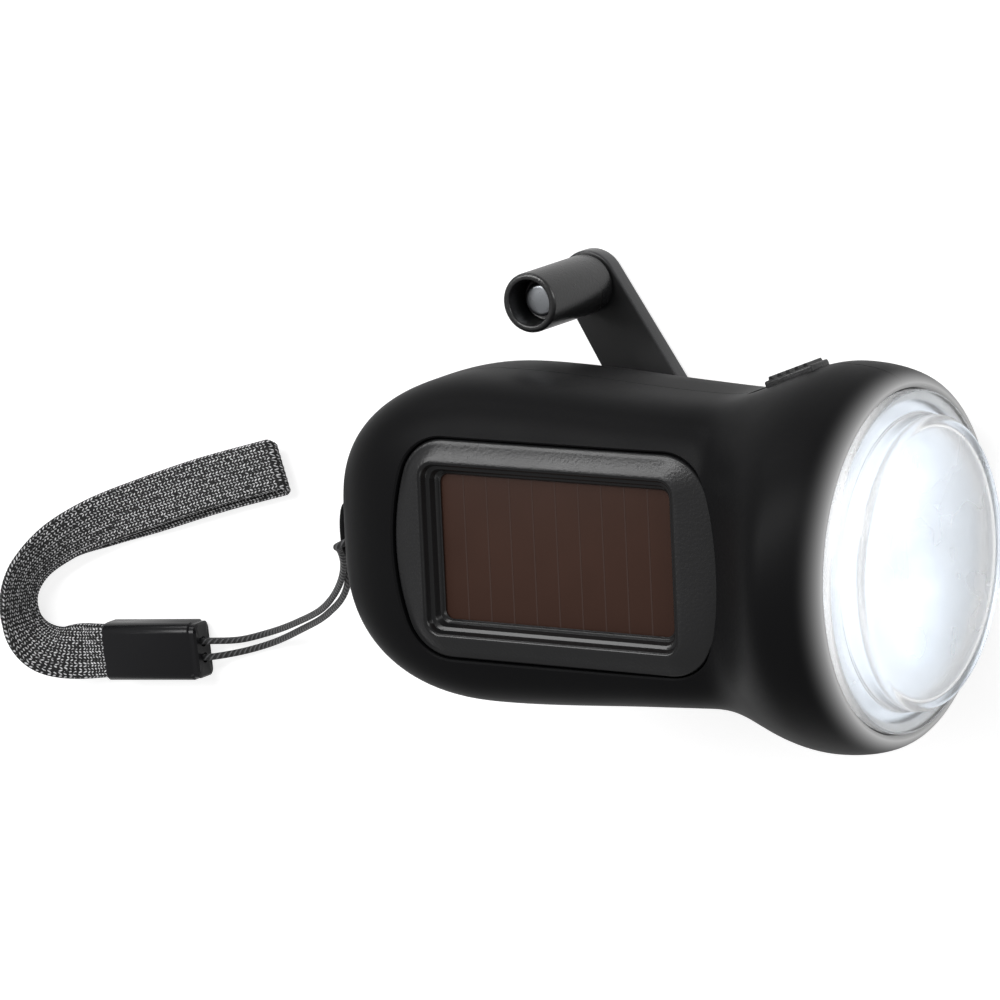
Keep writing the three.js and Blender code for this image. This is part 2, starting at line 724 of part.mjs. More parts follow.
// Crank: hub with its spindle, arm on a hinge pin, knob turning on its own pin
function crankHub() {
  const channel = armRootWidth / 2 + gap;
  const ears = cutBy(
    rodZ(0, 0, hubFace, hubBaseBottom + gap, hubRadius, fine),
    block(-hubRadius * 2, hubRadius * 2, -channel, channel, floorAt - overrun, headRadius));
  const base = rodZ(0, 0, hubBaseBottom, hubBaseTop, hubRadius, fine);
  const spindle = rodZ(0, 0, hubBaseBottom, plateTop, spindleRadius, medium);
  const pinHole = rodY(0, -hubRadius * 2, hubRadius * 2, armMid, armPinRadius + runningGap);
  return cutBy(joined(ears, base, spindle), pinHole);
}

function crankArm() {
  const width = armRootWidth / 2;
  const taper = Math.asin((width - armTipRadius) / armLength);
  const outline = new THREE.Shape();
  outline.moveTo(0, -width);
  outline.lineTo(armLength + armTipRadius * Math.sin(taper), -armTipRadius * Math.cos(taper));
  outline.absarc(armLength, 0, armTipRadius, -Math.PI / 2 + taper, Math.PI / 2 - taper, false);
  outline.lineTo(0, width);
  outline.closePath();
  const blade = slab(outline, armBottom, armTop, coarse);
  const barrel = rodY(0, -width, width, armMid, armThickness / 2);
  const pinHole = rodY(0, -width * 2, width * 2, armMid, armPinRadius + runningGap);
  const knobHole = rodZ(armLength, 0, armBottom - overrun, armTop + overrun, knobPinRadius + gap);
  const knobSink = rodZ(armLength, 0, armBottom - overrun, armBottom + armThickness / 2, knobPinHead + gap);
  return cutBy(blade.add(barrel), pinHole, knobHole, knobSink);
}

const earReach = Math.sqrt(hubRadius ** 2 - armPinRadius ** 2) - gap;
piece('crank_hub', crankHub(), blackPlastic, crank);
piece('crank_arm', crankArm(), blackPlastic, crank);
piece('arm_pin', rodY(0, -earReach, earReach, armMid, armPinRadius), steel, crank);

// The knob's pin is riveted in the arm, and its head lies in the cup at the knob's end
const cupFloor = knobTop - knobCupDepth;
function knobPin() {
  const rivet = rodZ(armLength, 0, armBottom + gap, armBottom + armThickness / 2 - gap, knobPinHead);
  const shank = rodZ(armLength, 0, armBottom + gap, cupFloor + gap + knobPinHeadHeight, knobPinRadius);
  const head = rodZ(armLength, 0, cupFloor + gap, cupFloor + gap + knobPinHeadHeight, knobPinHead);
  return joined(rivet, shank, head);
}

function knob() {
  const bore = knobPinRadius + runningGap;
  const geometry = geometryOf(turnedZ([
    [bore, knobBottom], [knobRadius - knobEdge / 2, knobBottom], [knobRadius, knobBottom + knobEdge / 2],
    [knobRadius, knobTop - knobEdge], [knobRadius - knobEdge / 3, knobTop - knobEdge / 3],
    [knobRadius - knobEdge, knobTop], [knobCupRadius, knobTop], [knobCupRadius, cupFloor], [bore, cupFloor],
    [bore, knobBottom],
  ]));
  return geometry.translate(armLength, 0, 0);
}

piece('knob_pin', knobPin(), steel, crank);
piece('crank_knob', knob(), blackPlastic, crank);

function bush() {
  const inner = spindleRadius + runningGap;
  const flangeRadius = bushRadius + gap + bushFlange;
  const bottom = hubRecess + gap;
  const flange = bossTop + gap;
  const flangeTop = bossTop + bushFlangeThickness;
  return turnedZ([
    [inner, bottom], [bushRadius, bottom], [bushRadius, flange], [flangeRadius, flange],
    [flangeRadius, flangeTop], [inner, flangeTop], [inner, bottom],
  ]);
}

piece('hub_bush', geometryOf(bush()).translate(hubAt, 0, 0), gearNylon);

// Gear train: each idler is a wheel with its pinion below it
function geared(name, centre, body, material) {
  piece(name, geometryOf(body), material).position.set(centre.x, centre.y, 0);
}

const spindleHole = rodZ(0, 0, floorAt, headRadius, spindleRadius + gap, medium);
const axleHole = rodZ(0, 0, floorAt, headRadius, axleRadius + runningGap);
geared('crank_gear', crankCentre,
  cutBy(gear(crankTeeth, crankGearTurn, layerOne, layerOne + crankGearWidth), spindleHole), gearNylon);
geared('idler_gear_1', idlerOne, cutBy(joined(
  gear(pinionTeeth, idlerOnePinionTurn, layerOne - pinionReach, layerTwo + gearWidth / 2),
  gear(idlerTeeth, idlerOneTurn, layerTwo, layerTwo + gearWidth)), axleHole), gearNylon);
geared('idler_gear_2', idlerTwo, cutBy(joined(
  gear(pinionTeeth, idlerTwoPinionTurn, layerTwo - pinionReach, layerThree + gearWidth / 2),
  gear(idlerTeeth, idlerTwoTurn, layerThree, layerThree + gearWidth)), axleHole), gearNylon);
[idlerOne, idlerTwo].forEach((p, i) => {
  piece(`idler_axle_${i + 1}`, rodZ(p.x, p.y, bossTop, plateTop, axleRadius), steel);
});

function gearPlate() {
  const outline = new THREE.Shape(platePosts.map((p) => p.clone()));
  const pads = platePosts.map((p) => rodZ(p.x, p.y, plateBottom, plateTop, postRadius + plateMargin));
  const stage = rodZ(rotorCentre.x, rotorCentre.y, plateBottom, plateTop, statorRadius, medium);
  const holes = [
    rodZ(hubAt, 0, plateBottom - overrun, plateTop + overrun, spindleRadius + gap, medium),
    ...[idlerOne, idlerTwo, rotorCentre].map((p) =>
      rodZ(p.x, p.y, plateBottom - overrun, plateTop + overrun, axleRadius + runningGap)),
  ];
  return cutBy(joined(slab(outline, plateBottom, plateTop), ...pads, stage), ...holes);
}

piece('gear_plate', gearPlate(), gearNylon);

// Generator: a can with poles round a magnet drum that its pinion turns
function stator() {
  const lid = statorTop - statorLid;
  const ring = cutBy(rodZ(0, 0, statorBottom, statorTop, statorRadius, medium),
    rodZ(0, 0, statorBottom - overrun, lid, statorBore, medium), axleHole);
  const poles = Array.from({ length: poleCount }, (_, i) => {
    const pole = new THREE.BoxGeometry(poleDepth + overrun / 2, poleWidth, statorHeight - statorLid);
    pole.translate(statorBore - poleDepth + (poleDepth + overrun / 2) / 2, 0, (statorBottom + lid) / 2);
    pole.rotateZ((2 * Math.PI * i) / poleCount);
    return solid(pole);
  });
  return joined(ring, ...poles);
}

geared('generator_stator', rotorCentre, stator(), coilCan);
const rotorFoot = layerThree - pinionReach;
const rotorTop = rotorBottom + rotorHeight;
geared('rotor_pinion', rotorCentre,
  cutBy(gear(pinionTeeth, rotorPinionTurn, rotorFoot, plateBottom - gap), axleHole), gearNylon);
geared('generator_rotor', rotorCentre,
  cutBy(rodZ(0, 0, rotorBottom, rotorTop, rotorRadius, medium), axleHole), magnet);
piece('rotor_axle', rodZ(rotorCentre.x, rotorCentre.y, rotorFoot, statorTop, axleRadius), steel);

// Power: three button cells in a tray, and the board that charges them from crank and panel
const stackLength = batteryCount * batteryCellLength + (batteryCount - 1) * gap;
for (let i = 0; i < batteryCount; i++) {
  const start = -stackLength / 2 + i * (batteryCellLength + gap);
  piece(`battery_cell_${i + 1}`,
    rodY(batteryAt, start, start + batteryCellLength, -batteryDrop, batteryRadius, medium), batterySteel);
}

function batteryTray() {
  const half = batteryRadius + gap;
  const end = stackLength / 2 + gap;
  const low = -batteryDrop - half;
  const shell = block(batteryAt - half + wall, batteryAt + half - wall, -end - wall / 2, end + wall / 2,
    low - wall / 2, -batteryDrop);
  return shell.subtract(rodY(batteryAt, -end, end, -batteryDrop, half, medium));
}

piece('battery_tray', batteryTray(), blackPlastic);

function mainBoard() {
  const x0 = panelAt - mainBoardLength / 2;
  const top = mainBoardRise + boardThickness;
  const board = block(x0, x0 + mainBoardLength, -mainBoardWidth / 2, mainBoardWidth / 2, mainBoardRise, top);
  const chips = [-1, 1].map((side) => {
    const cx = panelAt + side * chipLength;
    return block(cx - chipLength / 2, cx + chipLength / 2, -chipWidth / 2, chipWidth / 2,
      mainBoardRise + boardThickness / 2, top + chipHeight);
  });
  return joined(board, ...chips);
}

piece('main_board', mainBoard(), boardLaminate);

// Switch: a ribbed slider in the seam, and its body inside
function switchSlider() {
  const half = switchLength / 2;
  const rib = switchLength / (2 * switchRibs + 1);
  const outline = new THREE.Shape();
  outline.moveTo(-half, -wall);
  outline.lineTo(half, -wall);
  outline.lineTo(half, switchProud - switchRibDepth);
  for (let i = switchRibs - 1; i >= 0; i--) {
    const left = -half + rib * (2 * i + 1);
    outline.lineTo(left + rib, switchProud - switchRibDepth);
    outline.lineTo(left + rib * (1 - switchRibShare), switchProud);
    outline.lineTo(left + rib * switchRibShare, switchProud);
    outline.lineTo(left, switchProud - switchRibDepth);
  }
  outline.lineTo(-half, switchProud - switchRibDepth);
  outline.closePath();
  const body = slab(outline, -switchWidth / 2, switchWidth / 2);
  const stem = block(-switchStemBack - switchStem / 2, -switchStemBack + switchStem / 2,
    -wall - 2 * switchStem, -wall / 2, -switchStem / 2, switchStem / 2);
  const geometry = geometryOf(body.add(stem));
  return geometry.rotateZ(switchSlope).translate(switchAt, switchSkin, 0);
}

piece('switch_slider', switchSlider(), bezelPlastic);

function switchBody() {
  const top = -wall - switchBodySink;
  const middle = -switchStemBack - switchTravel / 2;
  const body = block(middle - switchBodyLength / 2, middle + switchBodyLength / 2,
    top - switchBodyDepth, top, -switchBodyWidth / 2, switchBodyWidth / 2);
  const reach = switchTravel / 2 + switchStem / 2 + gap;
  const slot = block(middle - reach, middle + reach, -wall - 2 * switchStem - gap, top + overrun,
    -switchStem / 2 - gap, switchStem / 2 + gap);
  return geometryOf(body.subtract(slot)).rotateZ(switchSlope).translate(switchAt, switchSkin, 0);
}

piece('switch_body', switchBody(), bezelPlastic);

// Screws, driven from the crank's side
screwPlaces.forEach((p, i) => {
  const face = screwHeadFace(p);
  const head = rodZ(0, 0, face, face + screwHeadHeight, screwHeadRadius);
  const shank = rodZ(0, 0, face + screwHeadHeight / 2, screwReach, screwRadius);
  piece(`housing_screw_${i + 1}`, geometryOf(head.add(shank)), steel).position.set(p[0], p[1], 0);
});

// A tube of even section along a curve
function tube(curve, radius, steps, sides) {
  const section = new THREE.Shape();
  for (let i = 0; i < sides; i++) {
    const angle = (2 * Math.PI * i) / sides;
    const point = [radius * Math.cos(angle), radius * Math.sin(angle)];
    if (i === 0) section.moveTo(...point);
    else section.lineTo(...point);
  }
  section.closePath();
  return new THREE.ExtrudeGeometry(section, { steps, extrudePath: curve, bevelEnabled: false });
}

const vector = (p) => new THREE.Vector3(...p);

// Lanyard lug: a staple whose feet stand on the butt
function lanyardLug() {
  const halfSpan = lugSpan / 2;
  const feet = buttAt - gap - lugRadius * lugSinkShare;
  const reach = lugTip + lugRadius;
  const knee = blend(feet, reach, lugKneeShare);
  const bow = new THREE.CatmullRomCurve3([
    [feet, -1], [knee, -lugKneeSpanShare], [reach, -lugBowSpanShare],
    [reach, lugBowSpanShare], [knee, lugKneeSpanShare], [feet, 1],
  ].map(([x, spanShare]) => vector([x, lugShift + halfSpan * spanShare, 0])));
  return tube(bow, lugRadius, medium, stringSides);
}

piece('lanyard_lug', lanyardLug(), blackPlastic);

// Wrist strap, lying on the floor past the butt: a looped string, a ferrule and a flattened webbing loop.
// The points are places along each route, from the torch's axis.
const ferruleMiddle = [-106.4, -31.6];
const ferruleHeading = THREE.MathUtils.degToRad(4.5);
const stringRoute = [
  [-99, -29.6, -27.5], [-96.4, -29.4, -27.6], [-91, -29, -28.6], [-85, -27.3, -28.2], [-75.3, -23.5, -22.6],
  [-65.3, -18.7, -15.2], [-57.4, -12.6, -8], [-53.7, -8, -3.4], [-52.45, -5.3, -0.4], [-51.8, -4.6, 1.3],
  [-50.6, -4, 1.75], [-49.4, -3.4, 1.3], [-49, -3, 0], [-49.5, -2.9, -1.4], [-50.8, -3.6, -2.3],
  [-53, -6.4, -4.6], [-57.3, -14.1, -9.4], [-65.6, -20.2, -16.4], [-75.6, -25.1, -23.6], [-85, -29.2, -28.8],
  [-91, -31.1, -29], [-96.4, -32.1, -27.6], [-99, -32.2, -27.5],
];
const strapRoute = [
  [-111.5, -32.2], [-116.9, -32.6], [-121.9, -33.1], [-127.2, -32.5], [-131, -29.4], [-132.1, -24.8],
  [-129.8, -19.6], [-123.8, -14.5], [-116.2, -10.8], [-106.5, -7.3], [-94.6, -3.2], [-81.3, 0.7],
];
// How far the webbing stands up on its inner edge at those places, in degrees
const strapBanks = [0, 0, 12, 42, 70, 80, 66, 42, 20, 6, 0, 0];
const stringSteps = 46;
const strapSteps = 32;

piece('strap_string', tube(new THREE.CatmullRomCurve3(stringRoute.map(vector)), stringDiameter / 2,
  stringSteps, stringSides), cordNylon);

const strapThickness = 2 * strapLayer + strapLayerGap;
function strapWebbing() {
  const route = new THREE.CatmullRomCurve3(strapRoute.map(([x, y]) => vector([x, y, 0])));
  const banks = new THREE.SplineCurve(strapBanks.map((bank, i) => new THREE.Vector2(i, bank)));
  const up = new THREE.Vector3(0, 0, 1);
  const halfWidth = strapWidth / 2;
  const halfThickness = strapThickness / 2;
  const round = halfThickness * strapEdgeShare;
  const flat = halfWidth - round;
  const edge = halfThickness - round;
  const corners = [
    [-halfWidth, -edge], [-flat, -halfThickness], [flat, -halfThickness], [halfWidth, -edge],
    [halfWidth, edge], [flat, halfThickness], [-flat, halfThickness], [-halfWidth, edge],
  ];
  const rings = [];
  for (let i = 0; i <= strapSteps; i++) {
    const t = i / strapSteps;
    const bank = THREE.MathUtils.degToRad(Math.max(0, banks.getPoint(t).y));
    const tangent = route.getTangent(t);
    const outward = up.clone().cross(tangent).normalize();
    const across = outward.multiplyScalar(Math.cos(bank)).addScaledVector(up, Math.sin(bank));
    const normal = tangent.clone().cross(across);
    const rise = halfWidth * Math.sin(bank) + halfThickness * Math.cos(bank);
    const centre = route.getPoint(t);
    centre.z = floorAt + Math.max(rise, ferruleRise(centre.x));
    rings.push(corners.map(([w, n]) => centre.clone().addScaledVector(across, w).addScaledVector(normal, n)));
  }
  const middle = (ring) => ring.reduce((sum, p) => sum.add(p), new THREE.Vector3()).divideScalar(ring.length);
  return loft(rings, middle(rings[0]), middle(rings[rings.length - 1]));
}

// The webbing leaves the ferrule at its mid height and comes down to the floor over half its length
function ferruleRise(x) {
  const end = ferruleMiddle[0] - ferruleLength / 2;
  const share = smooth((x - (end - ferruleLength / 2)) / (ferruleLength / 2));
  return blend(strapThickness / 2, ferruleHeight / 2, share);
}

piece('strap_webbing', strapWebbing(), webbing);

function ferrule() {
  const half = ferruleLength / 2;
  const y = ferruleWidth / 2 - ferruleEdge;
  const z = ferruleHeight / 2 - ferruleEdge;
  const section = new THREE.Shape();
  section.absarc(y, -z, ferruleEdge, -Math.PI / 2, 0, false);
  section.absarc(y, z, ferruleEdge, 0, Math.PI / 2, false);
  section.absarc(-y, z, ferruleEdge, Math.PI / 2, Math.PI, false);
  section.absarc(-y, -z, ferruleEdge, Math.PI, 1.5 * Math.PI, false);
  section.closePath();
  const sleeve = new THREE.ExtrudeGeometry(section, {
    depth: ferruleLength, bevelEnabled: false, curveSegments: 3,
  });
  sleeve.translate(0, 0, -half).rotateX(Math.PI / 2).rotateZ(Math.PI / 2);
  const slot = block(-half - overrun, 0, -strapWidth / 2 - gap, strapWidth / 2 + gap,
    -strapThickness / 2 - gap, strapThickness / 2 + gap);
  const holes = [-1, 1].map((side) => rodX(half - ferruleLength / 4, half + overrun, side * stringSpread, 0,
    stringDiameter / 2 + gap, stringSides));
  const body = geometryOf(cutBy(solid(sleeve), slot, ...holes));
  return body.rotateZ(ferruleHeading).translate(...ferruleMiddle, floorAt + ferruleHeight / 2);
}

piece('strap_ferrule', ferrule(), blackPlastic);

export default flashlight;
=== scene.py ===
"""A pocket torch with a hand crank and a solar panel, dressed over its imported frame.

Places on the torch are measured from its own axis: X runs along it to the lens, Y across it and +Z to
the panel. AXIS is that origin in the model's frame.
"""
import math

import bmesh
import bpy
import numpy as np
from bpy.props import FloatProperty, FloatVectorProperty, IntProperty, PointerProperty, StringProperty
from mathutils import Matrix, Vector


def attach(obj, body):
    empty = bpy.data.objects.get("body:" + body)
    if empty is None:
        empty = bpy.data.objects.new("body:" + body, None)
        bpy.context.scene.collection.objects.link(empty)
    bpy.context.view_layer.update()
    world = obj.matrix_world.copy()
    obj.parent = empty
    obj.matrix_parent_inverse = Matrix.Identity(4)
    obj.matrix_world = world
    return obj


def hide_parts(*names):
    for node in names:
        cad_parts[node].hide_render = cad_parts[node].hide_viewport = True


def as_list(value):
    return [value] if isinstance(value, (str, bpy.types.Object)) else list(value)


bl_info = {
    "name": "Crank torch",
    "version": (1, 0, 0),
    "blender": (4, 5, 0),
    "location": "View3D > Sidebar > Torch",
    "description": "Builds a hand cranked torch with a solar panel over its frame",
    "category": "Add Mesh",
}

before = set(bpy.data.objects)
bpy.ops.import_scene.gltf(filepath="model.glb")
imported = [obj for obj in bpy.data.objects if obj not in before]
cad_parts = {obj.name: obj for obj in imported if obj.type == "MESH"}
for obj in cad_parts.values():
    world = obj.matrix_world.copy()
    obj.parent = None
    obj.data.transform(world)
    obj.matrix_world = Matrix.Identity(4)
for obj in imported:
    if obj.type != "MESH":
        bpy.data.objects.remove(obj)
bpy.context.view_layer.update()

MM = 0.001
AXIS = Vector((-1.8, -4.825, 30.0)) * MM


# Sizes and colours a user would change
def length(size, about):
    """A length property; size is in millimetres."""
    return FloatProperty(name=about, default=size * MM, min=0.0, unit="LENGTH", precision=5)


def place(size, about):
    """A coordinate along one of the torch's axes; size is in millimetres."""
    return FloatProperty(name=about, default=size * MM, unit="LENGTH", precision=5)


def turn(degrees, about):
    """An angle property, given in degrees."""
    return FloatProperty(name=about, default=math.radians(degrees), unit="ROTATION")


def paint(code, about):
    """A colour, written as an sRGB hex value."""
    return StringProperty(name=about, default=code)


class ShellSizes(bpy.types.PropertyGroup):
    """The moulded housing."""

    butt: place(-47.7, "Where the body's rear end is")
    rim: place(50, "Where the head's front edge is")
    wall: length(2.2, "Thickness of the moulding")
    body: length(25.8, "Half the body's width")
    neck: length(24.1, "Half the width of the waist")
    front: length(16.7, "From the axis to the panel's face")
    rear: length(26.5, "From the axis to the crank's face")
    head: length(30, "Radius of the head where it is widest")
    lip: length(27.2, "Radius of the head at its front edge")
    widest: place(41, "Where the head is widest")
    parting: length(0.12, "Gap between the two halves")
    edge: length(0.3, "Chamfer on the edges of the recesses")


class PanelSizes(bpy.types.PropertyGroup):
    """The solar panel and its bezel."""

    middle: place(-2.5, "The bezel's centre along the torch")
    window: place(-3.9, "The window's centre along the torch")
    length: length(58.9, "Length of the bezel")
    width: length(34.5, "Width of the bezel")
    corner: length(8, "Radius of the bezel's corners")
    lens_arc: length(26, "Radius of the bowed end next to the lens")
    butt_arc: length(37, "Radius of the bowed end next to the butt")
    thickness: length(3, "Thickness of the bezel")
    top: place(16.58, "The bezel's face above the axis")
    cell_length: length(41, "Length of the window at the cell")
    cell_width: length(23.1, "Width of the window at the cell")
    cell: length(1.2, "Thickness of the cell")
    margin: length(1.2, "How far the cell reaches under the bezel")
    draft: length(1.8, "How far the window's walls lean out")
    lines: IntProperty(name="Scribed lines across the cell", default=9, min=1)


class HeadSizes(bpy.types.PropertyGroup):
    """Lens, reflector and lamps."""

    back: place(49.2, "Where the lens starts")
    radius: length(26.2, "Radius of the lens flange")
    flange: length(1.6, "Thickness of the lens flange")
    step: length(3.7, "Height of the raised step")
    step_radius: length(22.7, "Radius of the raised step")
    dome: length(0.7, "Crown of the raised face")
    wall: length(1.6, "Thickness of the lens")
    bore: length(24.5, "Radius of the head's bore")
    bore_from: place(34.5, "Where the bore starts")
    ledge: place(47.8, "Where the lens seal sits")
    depth: length(9, "Depth of the reflector")
    well: length(8.4, "Radius of each lamp's bowl")
    offset: length(10, "From the axis to each lamp")
    lamp: length(2.5, "Radius of each lamp")


class CrankSizes(bpy.types.PropertyGroup):
    """Hub, arm and knob."""

    hub_at: place(1, "The hub's place along the torch")
    angle: turn(121.8, "Heading of the arm from the lens's direction")
    hub: length(11, "Radius of the hub")
    arm: length(40.535, "From the hub's axis to the knob's")
    root: length(12.8, "Width of the arm at the hub")
    tip: length(5.2, "Radius of the arm's end")
    low: place(-29.85, "The arm's outer face below the axis")
    thickness: length(3, "Thickness of the arm")
    knob: length(4.75, "Radius of the knob")
    knob_length: length(18, "Length of the knob")
    cup: length(3.6, "Radius of the hollow in the knob's end")
    cup_depth: length(5, "Depth of the hollow in the knob's end")
    pin: length(1.6, "Radius of the knob's pin")


class SwitchSizes(bpy.types.PropertyGroup):
    """The slide switch."""

    at: place(32, "The slider's place along the torch")
    length: length(9, "Length of the slider")
    width: length(5.4, "Width of the slider")
    proud: length(1.3, "How far the slider stands out")
    travel: length(3, "How far the slider moves")
    ribs: IntProperty(name="Grip ribs on the slider", default=5, min=1)


class StrapSizes(bpy.types.PropertyGroup):
    """The wrist strap."""

    string: length(1.1, "Diameter of the string")
    width: length(8.5, "Width of the webbing")
    layer: length(1.1, "Thickness of one layer")
    between: length(0.4, "Gap between the two layers")
    slip: length(0.6, "How far the two layers lie beside each other")
    rib: length(0.95, "Spacing of the woven ribs across the webbing")
    pick: length(0.7, "Spacing of the weft along the webbing")
    ferrule_length: length(18.5, "Length of the ferrule")
    ferrule_width: length(9.6, "Width of the ferrule")
    ferrule_height: length(5, "Height of the ferrule")
    lug_span: length(8.5, "Between the lug's two feet")
    lug_proud: length(3, "How far the lug stands out")
    lug: length(0.9, "Radius of the lug's bow")


class Finishes(bpy.types.PropertyGroup):
    """Colours of the finishes."""

    shell: paint("#141415", "Black ABS of the housing")
    bezel: paint("#1e1e1f", "Charcoal ABS of the bezel")
    cell: paint("#3c2922", "Amorphous silicon")
    line: paint("#402e28", "Scribed lines on the cell")
    step: paint("#161617", "Polished ABS round the window")
    arm: paint("#1b1b1c", "Black nylon of the crank")
    # Lighter than the arm: a painted highlight on the arm's glossy edge
    edge: paint("#2f2f31", "Glossy nylon on the arm's edge")
    knob: paint("#1a1a1b", "Glossy ABS of the knob")
    webbing: paint("#121213", "Dark yarn of the webbing")
    fleck: paint("#e0e0e2", "Light yarn of the webbing")
    ferrule: paint("#18181a", "Black PVC of the ferrule")


class StageSettings(bpy.types.PropertyGroup):
    """The camera."""

    azimuth: turn(31.6, "Heading of the camera from the panel's normal towards the lens")
    height: turn(11.5, "Height of the camera towards the crank's free side")
    roll: turn(-2.6, "Roll of the camera")
    distance: FloatProperty(name="Distance from the torch's axis", default=1.232, unit="LENGTH")
    across: place(-19.0, "The camera's shift to the right")
    along: place(6.05, "The camera's shift upwards")
    focal: FloatProperty(name="Focal length in millimetres on a 36 mm sensor", default=287.13)


class TorchSettings(bpy.types.PropertyGroup):
    """Everything that the torch's operators read."""

    shell: PointerProperty(type=ShellSizes)
    panel: PointerProperty(type=PanelSizes)
    head: PointerProperty(type=HeadSizes)
    crank: PointerProperty(type=CrankSizes)
    switch: PointerProperty(type=SwitchSizes)
    strap: PointerProperty(type=StrapSizes)
    finish: PointerProperty(type=Finishes)
    stage: PointerProperty(type=StageSettings)


# Nodes, colours and materials
def linear(code):
    """An sRGB hex value as a linear RGBA colour."""
    parts = [int(code[i:i + 2], 16) / 255 for i in (1, 3, 5)]
    return (*[p / 12.92 if p <= 0.04045 else ((p + 0.055) / 1.055) ** 2.4 for p in parts], 1.0)


def add(tree, kind, inputs=None, **settings):
    """Adds a node, sets its properties, and fills its inputs with values or links."""
    node = tree.nodes.new(kind)
    for key, value in settings.items():
        setattr(node, key, value)
    for key, value in (inputs or {}).items():
        if isinstance(value, bpy.types.NodeSocket):
            tree.links.new(value, node.inputs[key])
        else:
            node.inputs[key].default_value = value
    return node


def maths(tree, operation, *values):
    """The result of one sum on values or links."""
    return add(tree, "ShaderNodeMath", dict(enumerate(values)), operation=operation).outputs[0]


def ranged(tree, value, low, high, start=0.0, stop=1.0):
    """A value that runs from low to high while the given one goes from start to stop."""
    return add(tree, "ShaderNodeMapRange", {
        "Value": value, "From Min": start, "From Max": stop, "To Min": low, "To Max": high}).outputs[0]


def noise(tree, scale, where=None, **inputs):
    """Noise over the object, or over another place."""
    if where is None:
        where = add(tree, "ShaderNodeTexCoord").outputs["Object"]
    return add(tree, "ShaderNodeTexNoise", {"Vector": where, "Scale": scale, **inputs}).outputs["Fac"]


def toned(tree, value, dark, light, start=0.0):
    """A colour that runs from dark to light while the value goes from start to 1."""
    ramp = add(tree, "ShaderNodeValToRGB", {"Fac": value})
    first, last = ramp.color_ramp.elements
    first.position, first.color, last.color = start, dark, light
    return ramp.outputs["Color"]


def principled(name, recipe):
    """A material of one principled shader, whose inputs the recipe makes in its tree."""
    made = bpy.data.materials.new(name)
    made.use_nodes = True
    tree = made.node_tree
    tree.nodes.clear()
    shader = add(tree, "ShaderNodeBsdfPrincipled", recipe(tree)).outputs[0]
    add(tree, "ShaderNodeOutputMaterial", {"Surface": shader})
    return made


# How far, how steeply and how brightly the painted glow on the head's rim fades
PAINTED_GLOW_REACH, PAINTED_GLOW_POWER, PAINTED_GLOW_LEVEL = 5 * MM, 3.2, 0.44


def painted_rim_glow(tree, shell):
    """A painted glow: emission that stands in for light from the lit lens on the head's rim, fading with the
    distance from the rim's circle.
    """
    def size(a, b):
        pair = add(tree, "ShaderNodeCombineXYZ", {"X": a, "Y": b}).outputs[0]
        return add(tree, "ShaderNodeVectorMath", {0: pair}, operation="LENGTH").outputs["Value"]

    where = add(tree, "ShaderNodeTexCoord").outputs["Object"]
    placed = add(tree, "ShaderNodeVectorMath", {0: where, 1: tuple(AXIS)}, operation="SUBTRACT").outputs[0]
    x, y, z = add(tree, "ShaderNodeSeparateXYZ", {"Vector": placed}).outputs
    far = size(maths(tree, "SUBTRACT", x, shell.rim), maths(tree, "SUBTRACT", size(y, z), shell.lip))
    near = ranged(tree, far, 0.0, 1.0, PAINTED_GLOW_REACH, 0.0)
    return maths(tree, "MULTIPLY", maths(tree, "POWER", near, PAINTED_GLOW_POWER), PAINTED_GLOW_LEVEL)


def moulded(name, code, roughness, spread, grain, depth, specular=0.5, ior=1.5, lit=None):
    """A moulded plastic: gloss that varies a little, and a grain whose size and depth are in millimetres; lit
    adds a painted glow near the head's rim.
    """
    def recipe(tree):
        bump = add(tree, "ShaderNodeBump", {
            "Height": noise(tree, 1 / (grain * MM), Detail=3.0), "Distance": depth * MM, "Strength": 1.0})
        broad = noise(tree, 1 / (40 * grain * MM))
        gloss = ranged(tree, broad, roughness - spread, roughness + spread, 0.3, 0.7)
        inputs = {
            "Base Color": linear(code), "Roughness": gloss, "Normal": bump.outputs[0],
            "Specular IOR Level": specular, "IOR": ior}
        # Painted glow: emission near the rim stands in for light from the lens
        if lit:
            inputs.update({"Emission Color": linear("#ffffff"), "Emission Strength": painted_rim_glow(tree, lit)})
        return inputs

    return principled(name, recipe)


def metal(name, code, roughness, streak):
    """A drawn or turned metal with fine marks, their spacing in millimetres."""
    def recipe(tree):
        marks = noise(tree, 1 / (streak * MM), Detail=4.0)
        gloss = ranged(tree, marks, roughness * 0.7, roughness * 1.4)
        return {"Base Color": linear(code), "Metallic": 1.0, "Roughness": gloss}

    return principled(name, recipe)


def silicon(tree, code):
    """Amorphous silicon behind clear resin: dull red brown, a little clouded."""
    deep = linear(code)
    pale = (*[c * 1.2 for c in deep[:3]], 1.0)
    return {
        "Base Color": toned(tree, noise(tree, 120.0, Detail=2.0), deep, pale), "Roughness": 0.45,
        "Specular IOR Level": 0.1, "Coat Weight": 0.05, "Coat Roughness": 0.15}


def laminate(tree):
    """Glass fibre laminate under green solder mask, with tracks a millimetre apart."""
    where = add(tree, "ShaderNodeTexCoord").outputs["Object"]
    tracks = add(tree, "ShaderNodeTexBrick", {
        "Vector": where, "Scale": 1.0, "Brick Width": 4 * MM, "Row Height": 1.2 * MM,
        "Mortar Size": 0.15 * MM, "Mortar": linear("#4f8a55"),
        "Color1": linear("#1f5a34"), "Color2": linear("#246a3d")})
    return {"Base Color": tracks.outputs["Color"], "Roughness": 0.35}


KNIT_SLANT, KNIT_SHOWS, KNIT_SOLID = 1.1, 0.2, 0.37


